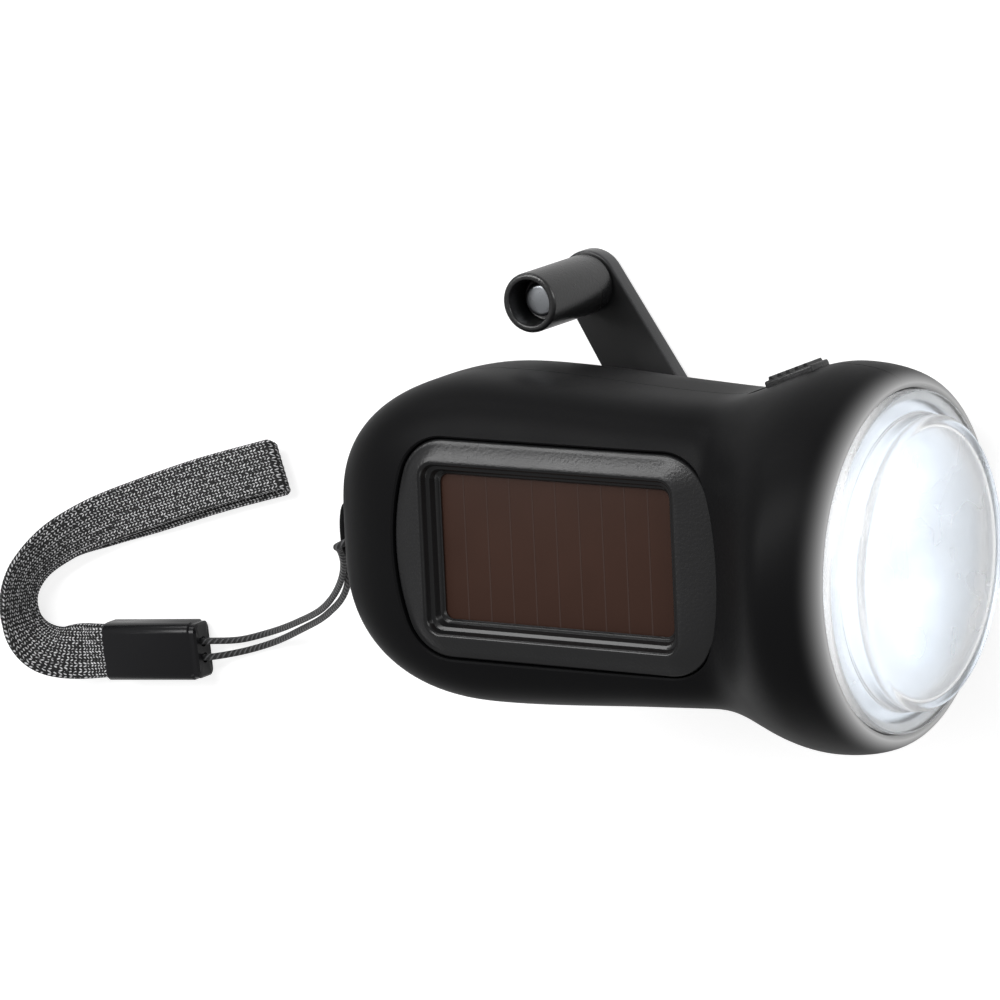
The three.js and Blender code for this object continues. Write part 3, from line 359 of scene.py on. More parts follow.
def woven(tree, finish, strap):
    """Polyester webbing: matt dark ribs, on which the light yarn shows as slanting dashes."""
    band = add(tree, "ShaderNodeUVMap", uv_map="band").outputs["UV"]
    along, across, _ = add(tree, "ShaderNodeSeparateXYZ", {"Vector": band}).outputs
    # The dashes lean one way on one side of each rib and the other way on its other side
    lean = maths(tree, "PINGPONG", across, strap.rib / 2)
    place = maths(tree, "MULTIPLY_ADD", lean, KNIT_SLANT, along)
    dash = ranged(tree, maths(tree, "PINGPONG", place, strap.pick / 2), 0.0, 1.0, 0.0, strap.pick / 2)
    # Every dash has its own length, and the ground shows between the ribs
    grain = ranged(tree, noise(tree, 1 / (0.7 * MM), band, Detail=3.0, Roughness=0.7), 0.0, 1.0, 0.3, 0.7)
    off_rib = maths(tree, "ABSOLUTE", maths(tree, "SUBTRACT", lean, strap.rib / 4))
    on_rib = maths(tree, "POWER", ranged(tree, off_rib, 0.0, 1.0, strap.rib / 4, 0.0), 0.6)
    yarn = maths(tree, "MULTIPLY", maths(tree, "MULTIPLY", dash, grain), on_rib)
    light = ranged(tree, yarn, 0.0, 1.0, KNIT_SHOWS, KNIT_SOLID)
    return {
        "Base Color": toned(tree, light, linear(finish.webbing), linear(finish.fleck)), "Roughness": 0.85,
        "Sheen Weight": 0.15}


def braid(tree, finish):
    """Twisted nylon: two dark plies with a light one between."""
    lay = add(tree, "ShaderNodeUVMap", uv_map="lay").outputs["UV"]
    wave = {"Vector": lay, "Scale": 1.0, "Distortion": 0.6, "Detail": 1.0}
    plies = add(tree, "ShaderNodeTexWave", wave, bands_direction="DIAGONAL").outputs["Fac"]
    bump = add(tree, "ShaderNodeBump", {"Height": plies, "Distance": 0.1 * MM}).outputs[0]
    return {
        "Base Color": toned(tree, plies, linear(finish.webbing), linear("#5c5c5e"), 0.55), "Roughness": 0.7,
        "Normal": bump, "Sheen Weight": 0.2}


PAINTS = {}


def mix_paints(torch):
    """Makes every finish once."""
    finish = torch.finish
    PAINTS.update({
        # Satin black ABS from a spark eroded mould, near black and hardly shining, with a painted glow on the
        # head's rim that stands in for light from the lens
        "shell": moulded(
            "satin black ABS", finish.shell, 0.42, 0.03, 0.35, 0.006, 0.13, ior=1.3, lit=torch.shell),
        # The bezel's coarser grain makes its shine speckle
        "bezel": moulded("grained charcoal ABS", finish.bezel, 0.34, 0.04, 0.5, 0.05, 0.45),
        # The mould is left polished where it forms the steps round the window
        "step": moulded("polished charcoal ABS", finish.step, 0.27, 0.03, 0.8, 0.004, 0.4),
        "cell": principled("amorphous silicon under resin", lambda tree: silicon(tree, finish.cell)),
        "line": moulded("scribed silver ink", finish.line, 0.45, 0.02, 0.3, 0.002, 0.25),
        # Clear polycarbonate, faintly hazy, so that the lamps behind it run together
        "lens": principled("clear polycarbonate", lambda tree: {
            "Base Color": linear("#ffffff"), "Roughness": ranged(tree, noise(tree, 90.0), 0.2, 0.32),
            "IOR": 1.49, "Transmission Weight": 1.0}),
        # Vacuum metallised plastic; its emission is a painted glow that stands in for the light of the lit
        # lamps that it surrounds
        "mirror": principled("vacuum chrome with painted glow", lambda tree: {
            "Base Color": linear("#dbe2ea"), "Metallic": 0.6, "Roughness": 0.22,
            "Emission Color": linear("#e6f0fb"),
            "Emission Strength": ranged(tree, noise(tree, 60.0), 0.42, 0.66)}),
        # The water clear epoxy dome of a lit white lamp
        "lamp": principled("lit epoxy", lambda tree: {
            "Base Color": linear("#f4f8ff"), "Roughness": ranged(tree, noise(tree, 500.0), 0.05, 0.12),
            "Emission Color": linear("#eef5ff"), "Emission Strength": 2.5}),
        "seal": moulded("clear silicone rubber", "#dfe3e6", 0.5, 0.05, 0.4, 0.01),
        "board": principled("green laminate", laminate),
        "nylon": moulded("natural acetal", "#e4e0d2", 0.42, 0.05, 0.6, 0.008),
        "steel": metal("zinc plated steel", "#a3a6aa", 0.3, 0.3),
        "battery": metal("nickel plated steel", "#c3c5c9", 0.22, 0.5),
        "can": metal("galvanised steel", "#8e9196", 0.38, 0.8),
        "magnet": moulded("pressed ferrite", "#3a3b3f", 0.6, 0.05, 0.3, 0.01),
        "arm": moulded("black glass filled nylon", finish.arm, 0.42, 0.03, 0.4, 0.008),
        # The mould is glossier along the arm's edge, and its lighter colour there is a painted highlight where
        # the edge catches the light
        "arm_edge": moulded("polished glass filled nylon with painted highlight", finish.edge, 0.2, 0.05, 0.4, 0.02, 0.9),
        "knob": moulded("grained glossy ABS", finish.knob, 0.28, 0.04, 0.5, 0.04, 0.7),
        "webbing": principled("woven polyester", lambda tree: woven(tree, finish, torch.strap)),
        "string": principled("twisted nylon", lambda tree: braid(tree, finish)),
        "ferrule": moulded("glossy black PVC", finish.ferrule, 0.22, 0.03, 0.8, 0.004, 0.3),
    })


# Meshes
def shown(name, mesh):
    """Links a mesh to the scene as an object."""
    piece = bpy.data.objects.new(name, mesh)
    bpy.context.scene.collection.objects.link(piece)
    return piece


def dress(piece, paints, body, slot, *nodes, angle=30, pick=None):
    """Paints and smooths a piece, and puts it on its body in place of its solids.

    paints names one finish, or two of which the second goes on the faces that pick chooses. Edges sharper
    than the angle stay crisp.
    """
    mesh = piece.data
    if paints:
        mesh.materials.clear()
        for key in paints.split():
            mesh.materials.append(PAINTS[key])
    for polygon in mesh.polygons if pick else ():
        polygon.material_index = int(pick(polygon))
    mesh.shade_smooth()
    mesh.set_sharp_from_angle(angle=math.radians(angle))
    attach(piece, body)
    if nodes:
        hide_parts(*nodes)
    return piece


def mesh_of(points, faces, weld=True):
    """A mesh from points measured from the torch's axis, faces turned outwards."""
    mesh = bpy.data.meshes.new("part")
    mesh.from_pydata([tuple(Vector(p) + AXIS) for p in points], [], faces)
    form = bmesh.new()
    form.from_mesh(mesh)
    if weld:
        bmesh.ops.remove_doubles(form, verts=form.verts, dist=1e-7)
    bmesh.ops.recalc_face_normals(form, faces=form.faces)
    form.to_mesh(mesh)
    form.free()
    return mesh


def mapped(mesh, name, uv_of):
    """Adds a UV map that gives every vertex its place by its index."""
    layer = mesh.uv_layers.new(name=name)
    for loop in mesh.loops:
        layer.data[loop.index].uv = uv_of(loop.vertex_index)
    return mesh


def moved(mesh, matrix):
    """Moves a mesh by a matrix in the torch's coordinates."""
    mesh.transform(Matrix.Translation(AXIS) @ matrix @ Matrix.Translation(-AXIS))
    return mesh


def skin(rings, closed_ends=True, loop=False):
    """Points and faces of a skin over rings of equally many points."""
    count = len(rings[0])
    points = [p for ring in rings for p in ring]
    faces = []
    for i in range(len(rings) - (0 if loop else 1)):
        a, b = i * count, ((i + 1) % len(rings)) * count
        for j in range(count):
            k = (j + 1) % count
            faces.append((a + j, a + k, b + k, b + j))
    if closed_ends and not loop:
        for start in (0, (len(rings) - 1) * count):
            points.append(tuple(np.mean(points[start:start + count], axis=0)))
            faces += [(start + j, start + (j + 1) % count, len(points) - 1) for j in range(count)]
    return points, faces


def fillet(points, radii, steps=5):
    """A closed outline with each corner rounded by its own radius."""
    made = []
    for i, point in enumerate(points):
        here = Vector(point)
        back, on = Vector(points[i - 1]) - here, Vector(points[(i + 1) % len(points)]) - here
        radius = radii[i] if hasattr(radii, "__len__") else radii
        angle = back.angle(on)
        if radius <= 0 or angle > math.pi - 0.02:
            made.append(tuple(here))
            continue
        cut = min(radius / math.tan(angle / 2), 0.49 * back.length, 0.49 * on.length)
        radius = cut * math.tan(angle / 2)
        back.normalize()
        on.normalize()
        centre = here + (back + on).normalized() * (radius / math.sin(angle / 2))
        start, end = here + back * cut - centre, here + on * cut - centre
        spread = start.angle(end)
        for k in range(steps + 1):
            t = k / steps
            arm = start * math.sin((1 - t) * spread) + end * math.sin(t * spread)
            made.append(tuple(centre + arm / math.sin(spread)))
    return made


def turned(profile, axis="Z", centre=(0, 0), steps=96):
    """A body of revolution; the profile is a closed outline of (radius, height) pairs."""
    rings = []
    for i in range(steps):
        c, s = math.cos(2 * math.pi * i / steps), math.sin(2 * math.pi * i / steps)
        if axis == "Z":
            rings.append([(centre[0] + r * c, centre[1] + r * s, h) for r, h in profile])
        else:
            rings.append([(h, centre[0] + r * c, centre[1] + r * s) for r, h in profile])
    return mesh_of(*skin(rings, loop=True))


def tube(path, radius, sides):
    """Points and faces of a round tube along a path, and the run of length to each ring."""
    path = [Vector(p) for p in path]
    side = (path[1] - path[0]).orthogonal().normalized()
    rings, runs = [], []
    for i, point in enumerate(path):
        tangent = (path[min(i + 1, len(path) - 1)] - path[max(i - 1, 0)]).normalized()
        side = (side - tangent * side.dot(tangent)).normalized()
        other = tangent.cross(side)
        runs.append(runs[-1] + (point - path[i - 1]).length if i else 0.0)
        rings.append([
            point + (side * math.cos(a) + other * math.sin(a)) * radius
            for a in (2 * math.pi * j / sides for j in range(sides))])
    return *skin(rings), runs


def applied(piece):
    """Turns a piece's modifiers into its plain mesh."""
    bpy.context.view_layer.update()
    evaluated = piece.evaluated_get(bpy.context.evaluated_depsgraph_get())
    mesh = bpy.data.meshes.new_from_object(evaluated)
    piece.modifiers.clear()
    old = piece.data
    piece.data = mesh
    if old.users == 0:
        bpy.data.meshes.remove(old)
    return mesh


def carved(piece, *cuts, **first):
    """Cuts meshes from a piece, after one union or intersect that is given by name, and keeps the result."""
    steps = [(operation.upper(), mesh) for operation, mesh in first.items()]
    steps += [("DIFFERENCE", mesh) for mesh in cuts]
    tools = []
    for operation, mesh in steps:
        tools.append(shown("tool", mesh))
        cut = piece.modifiers.new("cut", "BOOLEAN")
        cut.operation, cut.solver, cut.object = operation, "MANIFOLD", tools[-1]
    result = applied(piece)
    for tool in tools:
        bpy.data.meshes.remove(tool.data)
    return result


# The housing's form
def ease(t):
    """A smooth step from 0 to 1."""
    u = min(max(t, 0.0), 1.0)
    return u * u * (3 - 2 * u)


def between(a, b, t):
    """The value a share t of the way from a to b."""
    return a + (b - a) * t


# Where along the torch the butt begins to round off, where it flares out again, and where it is still square
NECK_AT, SIDE_SHOULDER, FRONT_SHOULDER, REAR_SHOULDER = 20 * MM, -18 * MM, -20 * MM, -22 * MM
FRONT_FLARE, REAR_FLARE, ROUND_FROM = 22 * MM, 15 * MM, 10 * MM
# Powers of the butt's rounding and of the two halves' sections, where 2 is round
SIDE_POWER, FRONT_POWER, REAR_POWER = 2.25, 2.5, 2.4
FRONT_SQUARE, REAR_SQUARE, ROUND = 4.0, 2.8, 2.0
GAP = 0.3 * MM           # clearance between pieces
OVER = 0.02 * MM         # how far a cut or a piece goes past a face
FAR = 80 * MM            # beyond the torch on every side


def end_share(x, shoulder, power, end):
    """How full the section still is where the butt rounds off."""
    u = min(max((shoulder - x) / (shoulder - end), 0.0), 1.0)
    return (1 - u ** power) ** (1 / power)


def section(shell, x, inset=0.0):
    """Half width, front and rear depth, and both powers of the section at x, drawn in by inset."""
    end = shell.butt + inset
    waist = between(shell.body, shell.neck, ease((x - SIDE_SHOULDER) / (NECK_AT - SIDE_SHOULDER)))

    def opened(size, start):
        if x > shell.widest:
            t = min((x - shell.widest) / (shell.rim - shell.widest), 1.0)
            return between(shell.lip, shell.head, math.sqrt(1 - t * t))
        return between(size, shell.head, ease((x - start) / (shell.widest - start)))

    rounded = ease((x - ROUND_FROM) / (shell.widest - ROUND_FROM))
    return (
        (opened(waist, NECK_AT) - inset) * end_share(x, SIDE_SHOULDER, SIDE_POWER, end),
        (opened(shell.front, FRONT_FLARE) - inset) * end_share(x, FRONT_SHOULDER, FRONT_POWER, end),
        (opened(shell.rear, REAR_FLARE) - inset) * end_share(x, REAR_SHOULDER, REAR_POWER, end),
        between(FRONT_SQUARE, ROUND, rounded),
        between(REAR_SQUARE, ROUND, rounded),
    )


def section_ring(shell, x, inset, count):
    """The section's outline at x, its points evenly spaced along each half."""
    side, front, rear, front_power, rear_power = section(shell, x, inset)
    ring = []
    for sign, depth, power in ((1, front, front_power), (-1, rear, rear_power)):
        a = np.linspace(0, np.pi, 721)
        y = side * np.sign(np.cos(a)) * np.abs(np.cos(a)) ** (2 / power)
        z = depth * np.abs(np.sin(a)) ** (2 / power)
        run = np.concatenate([[0], np.cumsum(np.hypot(np.diff(y), np.diff(z)))])
        even = np.linspace(0, run[-1], count // 2 + 1)
        ys, zs = np.interp(even, run, y), np.interp(even, run, z)
        if sign < 0:
            ys, zs = -ys, -zs
        ring += [(x, float(p), float(q)) for p, q in zip(ys[:-1], zs[:-1])]
    return ring


def height_at(shell, x, y, sign):
    """The outer skin's height over x, y on the panel's side or the crank's."""
    side, front, rear, front_power, rear_power = section(shell, min(x, shell.rim))
    depth, power = (front, front_power) if sign > 0 else (rear, rear_power)
    return sign * depth * max(0.0, 1 - (abs(y) / max(side, 1e-6)) ** power) ** (1 / power)


def housing_form(shell, inset, until, count, stations):
    """The closed lofted form of the housing, drawn in by inset, up to a flat face."""
    end = shell.butt + inset
    third = stations // 3
    # Rings crowd towards the butt and towards the rim, where the form turns in
    xs = [between(REAR_SHOULDER, end, math.cos(math.pi / 2 * i / stations)) for i in range(1, stations)]
    xs += [between(REAR_SHOULDER, shell.widest, i / (stations + third)) for i in range(stations + third + 1)]
    xs += [between(shell.widest, shell.rim, math.sin(math.pi / 2 * i / third)) for i in range(1, third + 1)]
    kept = [x for x in xs if x < until - 0.05 * MM] + [until]
    rings = [section_ring(shell, x, inset, count) for x in kept]
    points, faces = skin(rings, closed_ends=False)
    count = len(rings[0])
    points.append((end, 0.0, 0.0))
    faces += [((j + 1) % count, j, len(points) - 1) for j in range(count)]
    points.append((until, 0.0, 0.0))
    last = (len(rings) - 1) * count
    faces += [(last + j, last + (j + 1) % count, len(points) - 1) for j in range(count)]
    return mesh_of(points, faces)


def block(x0, x1, y0, y1, z0, z1):
    """A box between two corners, as a tool for cutting."""
    corners = [(x, y, z) for x in (x0, x1) for y in (y0, y1) for z in (z0, z1)]
    faces = [(0, 1, 3, 2), (4, 6, 7, 5), (0, 4, 5, 1), (2, 3, 7, 6), (0, 2, 6, 4), (1, 5, 7, 3)]
    return mesh_of(corners, faces)


def rod(x, y, z0, z1, radius, steps=48):
    """A round tool along Z."""
    return turned([(0, z0), (radius, z0), (radius, z1), (0, z1)], "Z", (x, y), steps)


def prism(outline, z0, z1):
    """A straight sided tool over an outline of (x, y, normal x, normal y) points."""
    rings = [[(x, y, z) for x, y, _, _ in outline] for z in (z0, z1)]
    return mesh_of(*skin(rings))


def circle(x, y, radius, steps=72):
    """A round outline with its normals."""
    angles = [2 * math.pi * i / steps for i in range(steps)]
    return [(x + radius * math.cos(a), y + radius * math.sin(a), math.cos(a), math.sin(a)) for a in angles]


def well(shell, outline, floor, sign):
    """A tool for a recess whose mouth has a small chamfer that follows the housing's skin."""
    edge = shell.edge
    out = [(x + nx * edge, y + ny * edge) for x, y, nx, ny in outline]
    mouth = [height_at(shell, x, y, sign) - sign * edge for x, y, _, _ in outline]
    brim = [height_at(shell, x, y, sign) + sign * OVER for x, y in out]
    rings = [
        [(x, y, floor) for x, y, _, _ in outline],
        [(x, y, z) for (x, y, _, _), z in zip(outline, mouth)],
        [(x, y, z) for (x, y), z in zip(out, brim)],
        [(x, y, sign * FAR) for x, y in out],
    ]
    return mesh_of(*skin(rings))


def bezel_outline(panel, grow, corner_steps=14, side_steps=18):
    """The bezel's outline with normals, grown by a margin: each end is a wide arc between two corner arcs."""
    hx, hy, r = panel.length / 2 + grow, panel.width / 2 + grow, panel.corner + grow
    made, ends = [], []

    def arc(cx, cy, radius, start, end, steps):
        for i in range(steps):
            a = between(start, end, i / steps)
            made.append((cx + radius * math.cos(a), cy + radius * math.sin(a), math.cos(a), math.sin(a)))

    for side, wide in ((1, panel.lens_arc + grow), (-1, panel.butt_arc + grow)):
        middle = panel.middle + side * (hx - wide)
        sweep = math.asin((hy - r) / (wide - r))
        ends.append((side, wide, middle, sweep, middle + side * (wide - r) * math.cos(sweep)))
    for (side, wide, middle, sweep, corner), other in zip(ends, reversed(ends)):
        heading = 0.0 if side > 0 else math.pi
        arc(corner, -side * (hy - r), r, heading - math.pi / 2, heading - sweep, corner_steps)
        arc(middle, 0.0, wide, heading - sweep, heading + sweep, side_steps)
        arc(corner, side * (hy - r), r, heading + sweep, heading + math.pi / 2, corner_steps)
        shares = [i / side_steps for i in range(side_steps)]
        made += [(between(corner, other[4], t), side * hy, 0.0, float(side)) for t in shares]
    return made


def window_outline(panel, half_length, half_width, corner, corner_steps=14, side_steps=18):
    """A rounded rectangle with the same point counts as the bezel's outline."""
    made = []
    quarter = [(1, -1, -90), (1, 1, 0), (-1, 1, 90), (-1, -1, 180)]
    for i, (sx, sy, start) in enumerate(quarter):
        cx, cy = sx * (half_length - corner), sy * (half_width - corner)
        for k in range(corner_steps):
            a = math.radians(start) + math.pi / 2 * k / corner_steps
            made.append((panel.window + cx + corner * math.cos(a), cy + corner * math.sin(a)))
        tx, ty, _ = quarter[(i + 1) % 4]
        a = math.radians(start + 90)
        dx, dy = corner * math.cos(a), corner * math.sin(a)
        next_x, next_y = tx * (half_length - corner), ty * (half_width - corner)
        for k in range(side_steps):
            t = k / side_steps
            made.append((panel.window + between(cx, next_x, t) + dx, between(cy, next_y, t) + dy))
    return made


SCREWS = [(-29 * MM, 13.5 * MM), (-29 * MM, -13.5 * MM), (25 * MM, 14.3 * MM), (25 * MM, -14.3 * MM)]
SCREW_SUNK, SCREW_HOLE = 1.2 * MM, 1.5 * MM
HUB_SUNK = 1.3 * MM      # the hub's disc below the crank's face
HINGE_HOLE = 0.8 * MM
PANEL_WALL = 1.8 * MM    # round the cell's tray, and how far it stands in
POCKET_WALL = 1.5 * MM   # round the knob's pocket


def screw_face(shell, x, y):
    """Height of a screw's head, sunk below the crank's side."""
    return height_at(shell, x, y, -1) + SCREW_SUNK


def switch_frame(shell, switch):
    """Turns a tool made round the origin, with +Y outwards, to the switch's place on the flare."""
    half = switch.length / 2
    rise = section(shell, switch.at + half)[0] - section(shell, switch.at - half)[0]
    slope = math.atan2(rise, switch.length)
    spot = Vector((switch.at, section(shell, switch.at)[0], 0))
    return Matrix.Translation(spot) @ Matrix.Rotation(slope, 4, "Z")


class TORCH_OT_housing(bpy.types.Operator):
    """Both halves of the housing, with the recesses for panel, lens, crank, knob, screws and switch"""

    bl_idname = "torch.housing"
    bl_label = "Housing"

    def execute(self, context):
        torch = context.scene.torch
        shell, panel, head, crank, switch = torch.shell, torch.panel, torch.head, torch.crank, torch.switch
        rebate, chamfered = head.radius + GAP, head.radius + GAP + shell.edge
        bore = [
            (0, head.bore_from - GAP), (head.bore, head.bore_from - GAP), (head.bore, head.ledge),
            (rebate, head.ledge), (rebate, shell.rim - shell.edge), (chamfered, shell.rim + OVER),
            (chamfered, shell.rim + 5 * MM), (0, shell.rim + 5 * MM)]

        def half(name, low, high, bosses, cuts):
            hollow = shown("hollow", housing_form(shell, shell.wall, head.bore_from, 64, 14))
            inside = carved(hollow, *bosses)
            piece = shown(name, housing_form(shell, 0.0, shell.rim, 200, 48))
            keep = block(-FAR, FAR, -FAR, FAR, low, high)
            carved(piece, inside, turned(bore, "X", (0, 0), 180), *cuts, intersect=keep)
            return piece

        def switch_slot():
            slot = block(
                -switch.length / 2 - switch.travel - GAP, switch.length / 2 + GAP, -8 * MM, 8 * MM,
                -switch.width / 2 - GAP, switch.width / 2 + GAP)
            return moved(slot, switch_frame(shell, switch))

        half_gap = shell.parting / 2
        tray_top = panel.top - panel.thickness - GAP
        seat_low = tray_top - panel.cell - 2 * GAP
        seat_x = panel.cell_length / 2 + panel.margin + GAP
        seat_y = panel.cell_width / 2 + panel.margin + GAP
        front = half(
            "front_half", half_gap, FAR,
            [prism(bezel_outline(panel, PANEL_WALL), seat_low - PANEL_WALL, FAR)]
            + [rod(x, y, half_gap, FAR, 3.4 * MM) for x, y in SCREWS],
            [
                well(shell, bezel_outline(panel, GAP), tray_top, 1),
                block(panel.window - seat_x, panel.window + seat_x, -seat_y, seat_y, seat_low, FAR),
                switch_slot(),
            ] + [rod(x, y, -FAR, 4.3 * MM, SCREW_HOLE) for x, y in SCREWS])
        dress(front, "shell", "housing", "shell", "housing_front", angle=35)

        hub = (crank.hub_at, 0.0)
        pocket_at, pocket_radius = crank.hub_at - crank.arm, crank.knob + 0.9 * MM
        pocket_top = crank.low + crank.thickness + crank.knob_length + 2 * GAP
        recess = -shell.rear + HUB_SUNK + GAP
        boss_top = recess + shell.wall
        rear = half(
            "rear_half", -FAR, -half_gap,
            [rod(pocket_at, 0, -FAR, pocket_top + POCKET_WALL, pocket_radius + POCKET_WALL),
             rod(*hub, -FAR, boss_top, crank.hub + GAP + shell.wall, 72)]
            + [rod(x, y, -FAR, FAR, 3.7 * MM) for x, y in SCREWS],
            [
                well(shell, circle(pocket_at, 0, pocket_radius), pocket_top, -1),
                well(shell, circle(*hub, crank.hub + GAP, 120), recess, -1),
                rod(*hub, -FAR, boss_top + 5 * MM, 5.3 * MM),
                switch_slot(),
            ]
            + [well(shell, circle(x, y, 2.9 * MM, 48), screw_face(shell, x, y) + 1.8 * MM, -1)
               for x, y in SCREWS]
            + [rod(x, y, -FAR, FAR, SCREW_HOLE) for x, y in SCREWS])
        dress(rear, "shell", "housing", "shell", "housing_rear", angle=35)
        return {"FINISHED"}


# The bezel's section in millimetres: the window's wall goes down in two steps, (drop, how far outside the
# cell's opening), and the face falls away from the window to the edge
WINDOW_STEPS = [
    (0.04, 2.03), (0.16, 1.84), (0.42, 1.68), (1.15, 1.5), (1.24, 1.42), (1.4, 0.92), (1.5, 0.84), (2.4, 0.6),
    (2.5, 0.52), (2.68, 0.14), (2.8, 0.06),
]
BEZEL_CROWN, BEZEL_EDGE, BEZEL_FOOT, WINDOW_CORNER = 1.2 * MM, 0.5 * MM, 0.3 * MM, 1.4 * MM


class TORCH_OT_panel(bpy.types.Operator):
    """The bezel, the cell in its window and the scribed lines on the cell"""

    bl_idname = "torch.panel"
    bl_label = "Solar panel"

    def execute(self, context):
        panel = context.scene.torch.panel
        low, top = panel.top - panel.thickness, panel.top
        brim = top - BEZEL_CROWN
        outer = bezel_outline(panel, 0.0)

        def inward(by, z):
            return [(x - nx * by, y - ny * by, z) for x, y, nx, ny in outer]

        def window(drop, grow):
            ring = window_outline(
                panel, panel.cell_length / 2 + grow, panel.cell_width / 2 + grow, WINDOW_CORNER + grow / 2)
            return [(x, y, top - drop) for x, y in ring]

        rings = [inward(BEZEL_FOOT, low), inward(0.0, low + BEZEL_FOOT)]
        for i in range(6):
            a = math.pi / 2 * i / 5
            rings.append(inward(BEZEL_EDGE * (1 - math.cos(a)), brim - BEZEL_EDGE + BEZEL_EDGE * math.sin(a)))
        foot, mouth = inward(BEZEL_EDGE, brim), window(0.0, panel.draft + 0.45 * MM)
        for i in range(1, 9):
            u = i / 8
            rise = BEZEL_CROWN * (0.6 * u + 0.4 * (1 - (1 - u) ** 2))
            rings.append([
                (between(p[0], q[0], u), between(p[1], q[1], u), brim + rise) for p, q in zip(foot, mouth)])
        first = (len(rings) - 1) * len(outer)
        rings += [window(drop * MM, grow * MM) for drop, grow in WINDOW_STEPS]
        last = (len(rings) - 1) * len(outer)
        rings.append(window(panel.thickness, -0.1 * MM))
        bezel = shown("panel_frame", mesh_of(*skin(rings, loop=True)))
        dress(
            bezel, "bezel step", "housing", "bezel", "panel_bezel",
            pick=lambda polygon: first <= polygon.index < last)

        hx, hy = panel.cell_length / 2 + panel.margin, panel.cell_width / 2 + panel.margin
        cell_top = low - GAP
        cell = shown("cell_plate", block(
            panel.window - hx, panel.window + hx, -hy, hy, cell_top - panel.cell, cell_top))
        bevel = cell.modifiers.new("edge", "BEVEL")
        bevel.width, bevel.segments = 0.15 * MM, 3
        applied(cell)
        dress(cell, "cell", "housing", "cell", "solar_cell")

        # Scribed lines part the cell into strips
        pitch = panel.cell_length / (panel.lines + 1)
        end = hy - 0.4 * MM
        line = block(-0.12 * MM, 0.12 * MM, -end, end, cell_top - OVER, cell_top + 0.025 * MM)
        start = (panel.window - pitch * (panel.lines - 1) / 2, 0, 0)
        lines = row_of("cell_lines", line, panel.lines, start, (pitch, 0, 0), "line")
        dress(lines, "", "housing", "cell")
        return {"FINISHED"}


def row_tree():
    """A node tree that repeats an object in a straight row."""
    tree = bpy.data.node_groups.new("row of copies", "GeometryNodeTree")
    face = tree.interface
    face.new_socket("Geometry", in_out="OUTPUT", socket_type="NodeSocketGeometry")
    for name, kind in (
            ("Source", "NodeSocketObject"), ("Count", "NodeSocketInt"), ("Start", "NodeSocketVector"),
            ("Step", "NodeSocketVector"), ("Material", "NodeSocketMaterial")):
        face.new_socket(name, in_out="INPUT", socket_type=kind)
    given = add(tree, "NodeGroupInput").outputs
    source = add(tree, "GeometryNodeObjectInfo", {"Object": given["Source"]}).outputs["Geometry"]
    line = add(tree, "GeometryNodeMeshLine", {
        "Count": given["Count"], "Start Location": given["Start"], "Offset": given["Step"]}).outputs[0]
    copies = add(tree, "GeometryNodeInstanceOnPoints", {"Points": line, "Instance": source}).outputs[0]
    real = add(tree, "GeometryNodeRealizeInstances", {"Geometry": copies}).outputs[0]
    painted = add(tree, "GeometryNodeSetMaterial", {"Geometry": real, "Material": given["Material"]})
    add(tree, "NodeGroupOutput", {"Geometry": painted.outputs[0]})
    return tree


def row_of(name, mesh, count, start, step, paint_key):
    """Copies of a mesh in a row, as one plain mesh; the mesh is made about the torch's axis."""
    source = shown("source", mesh)
    piece = shown(name, bpy.data.meshes.new("row"))
    modifier = piece.modifiers.new("copies", "NODES")
    tree = modifier.node_group = row_tree()
    sockets = {s.name: s.identifier for s in tree.interface.items_tree if s.in_out == "INPUT"}
    values = {"Source": source, "Count": count, "Start": start, "Step": step, "Material": PAINTS[paint_key]}
    for key, value in values.items():
        modifier[sockets[key]] = value
    applied(piece)
    bpy.data.objects.remove(source)
    return piece


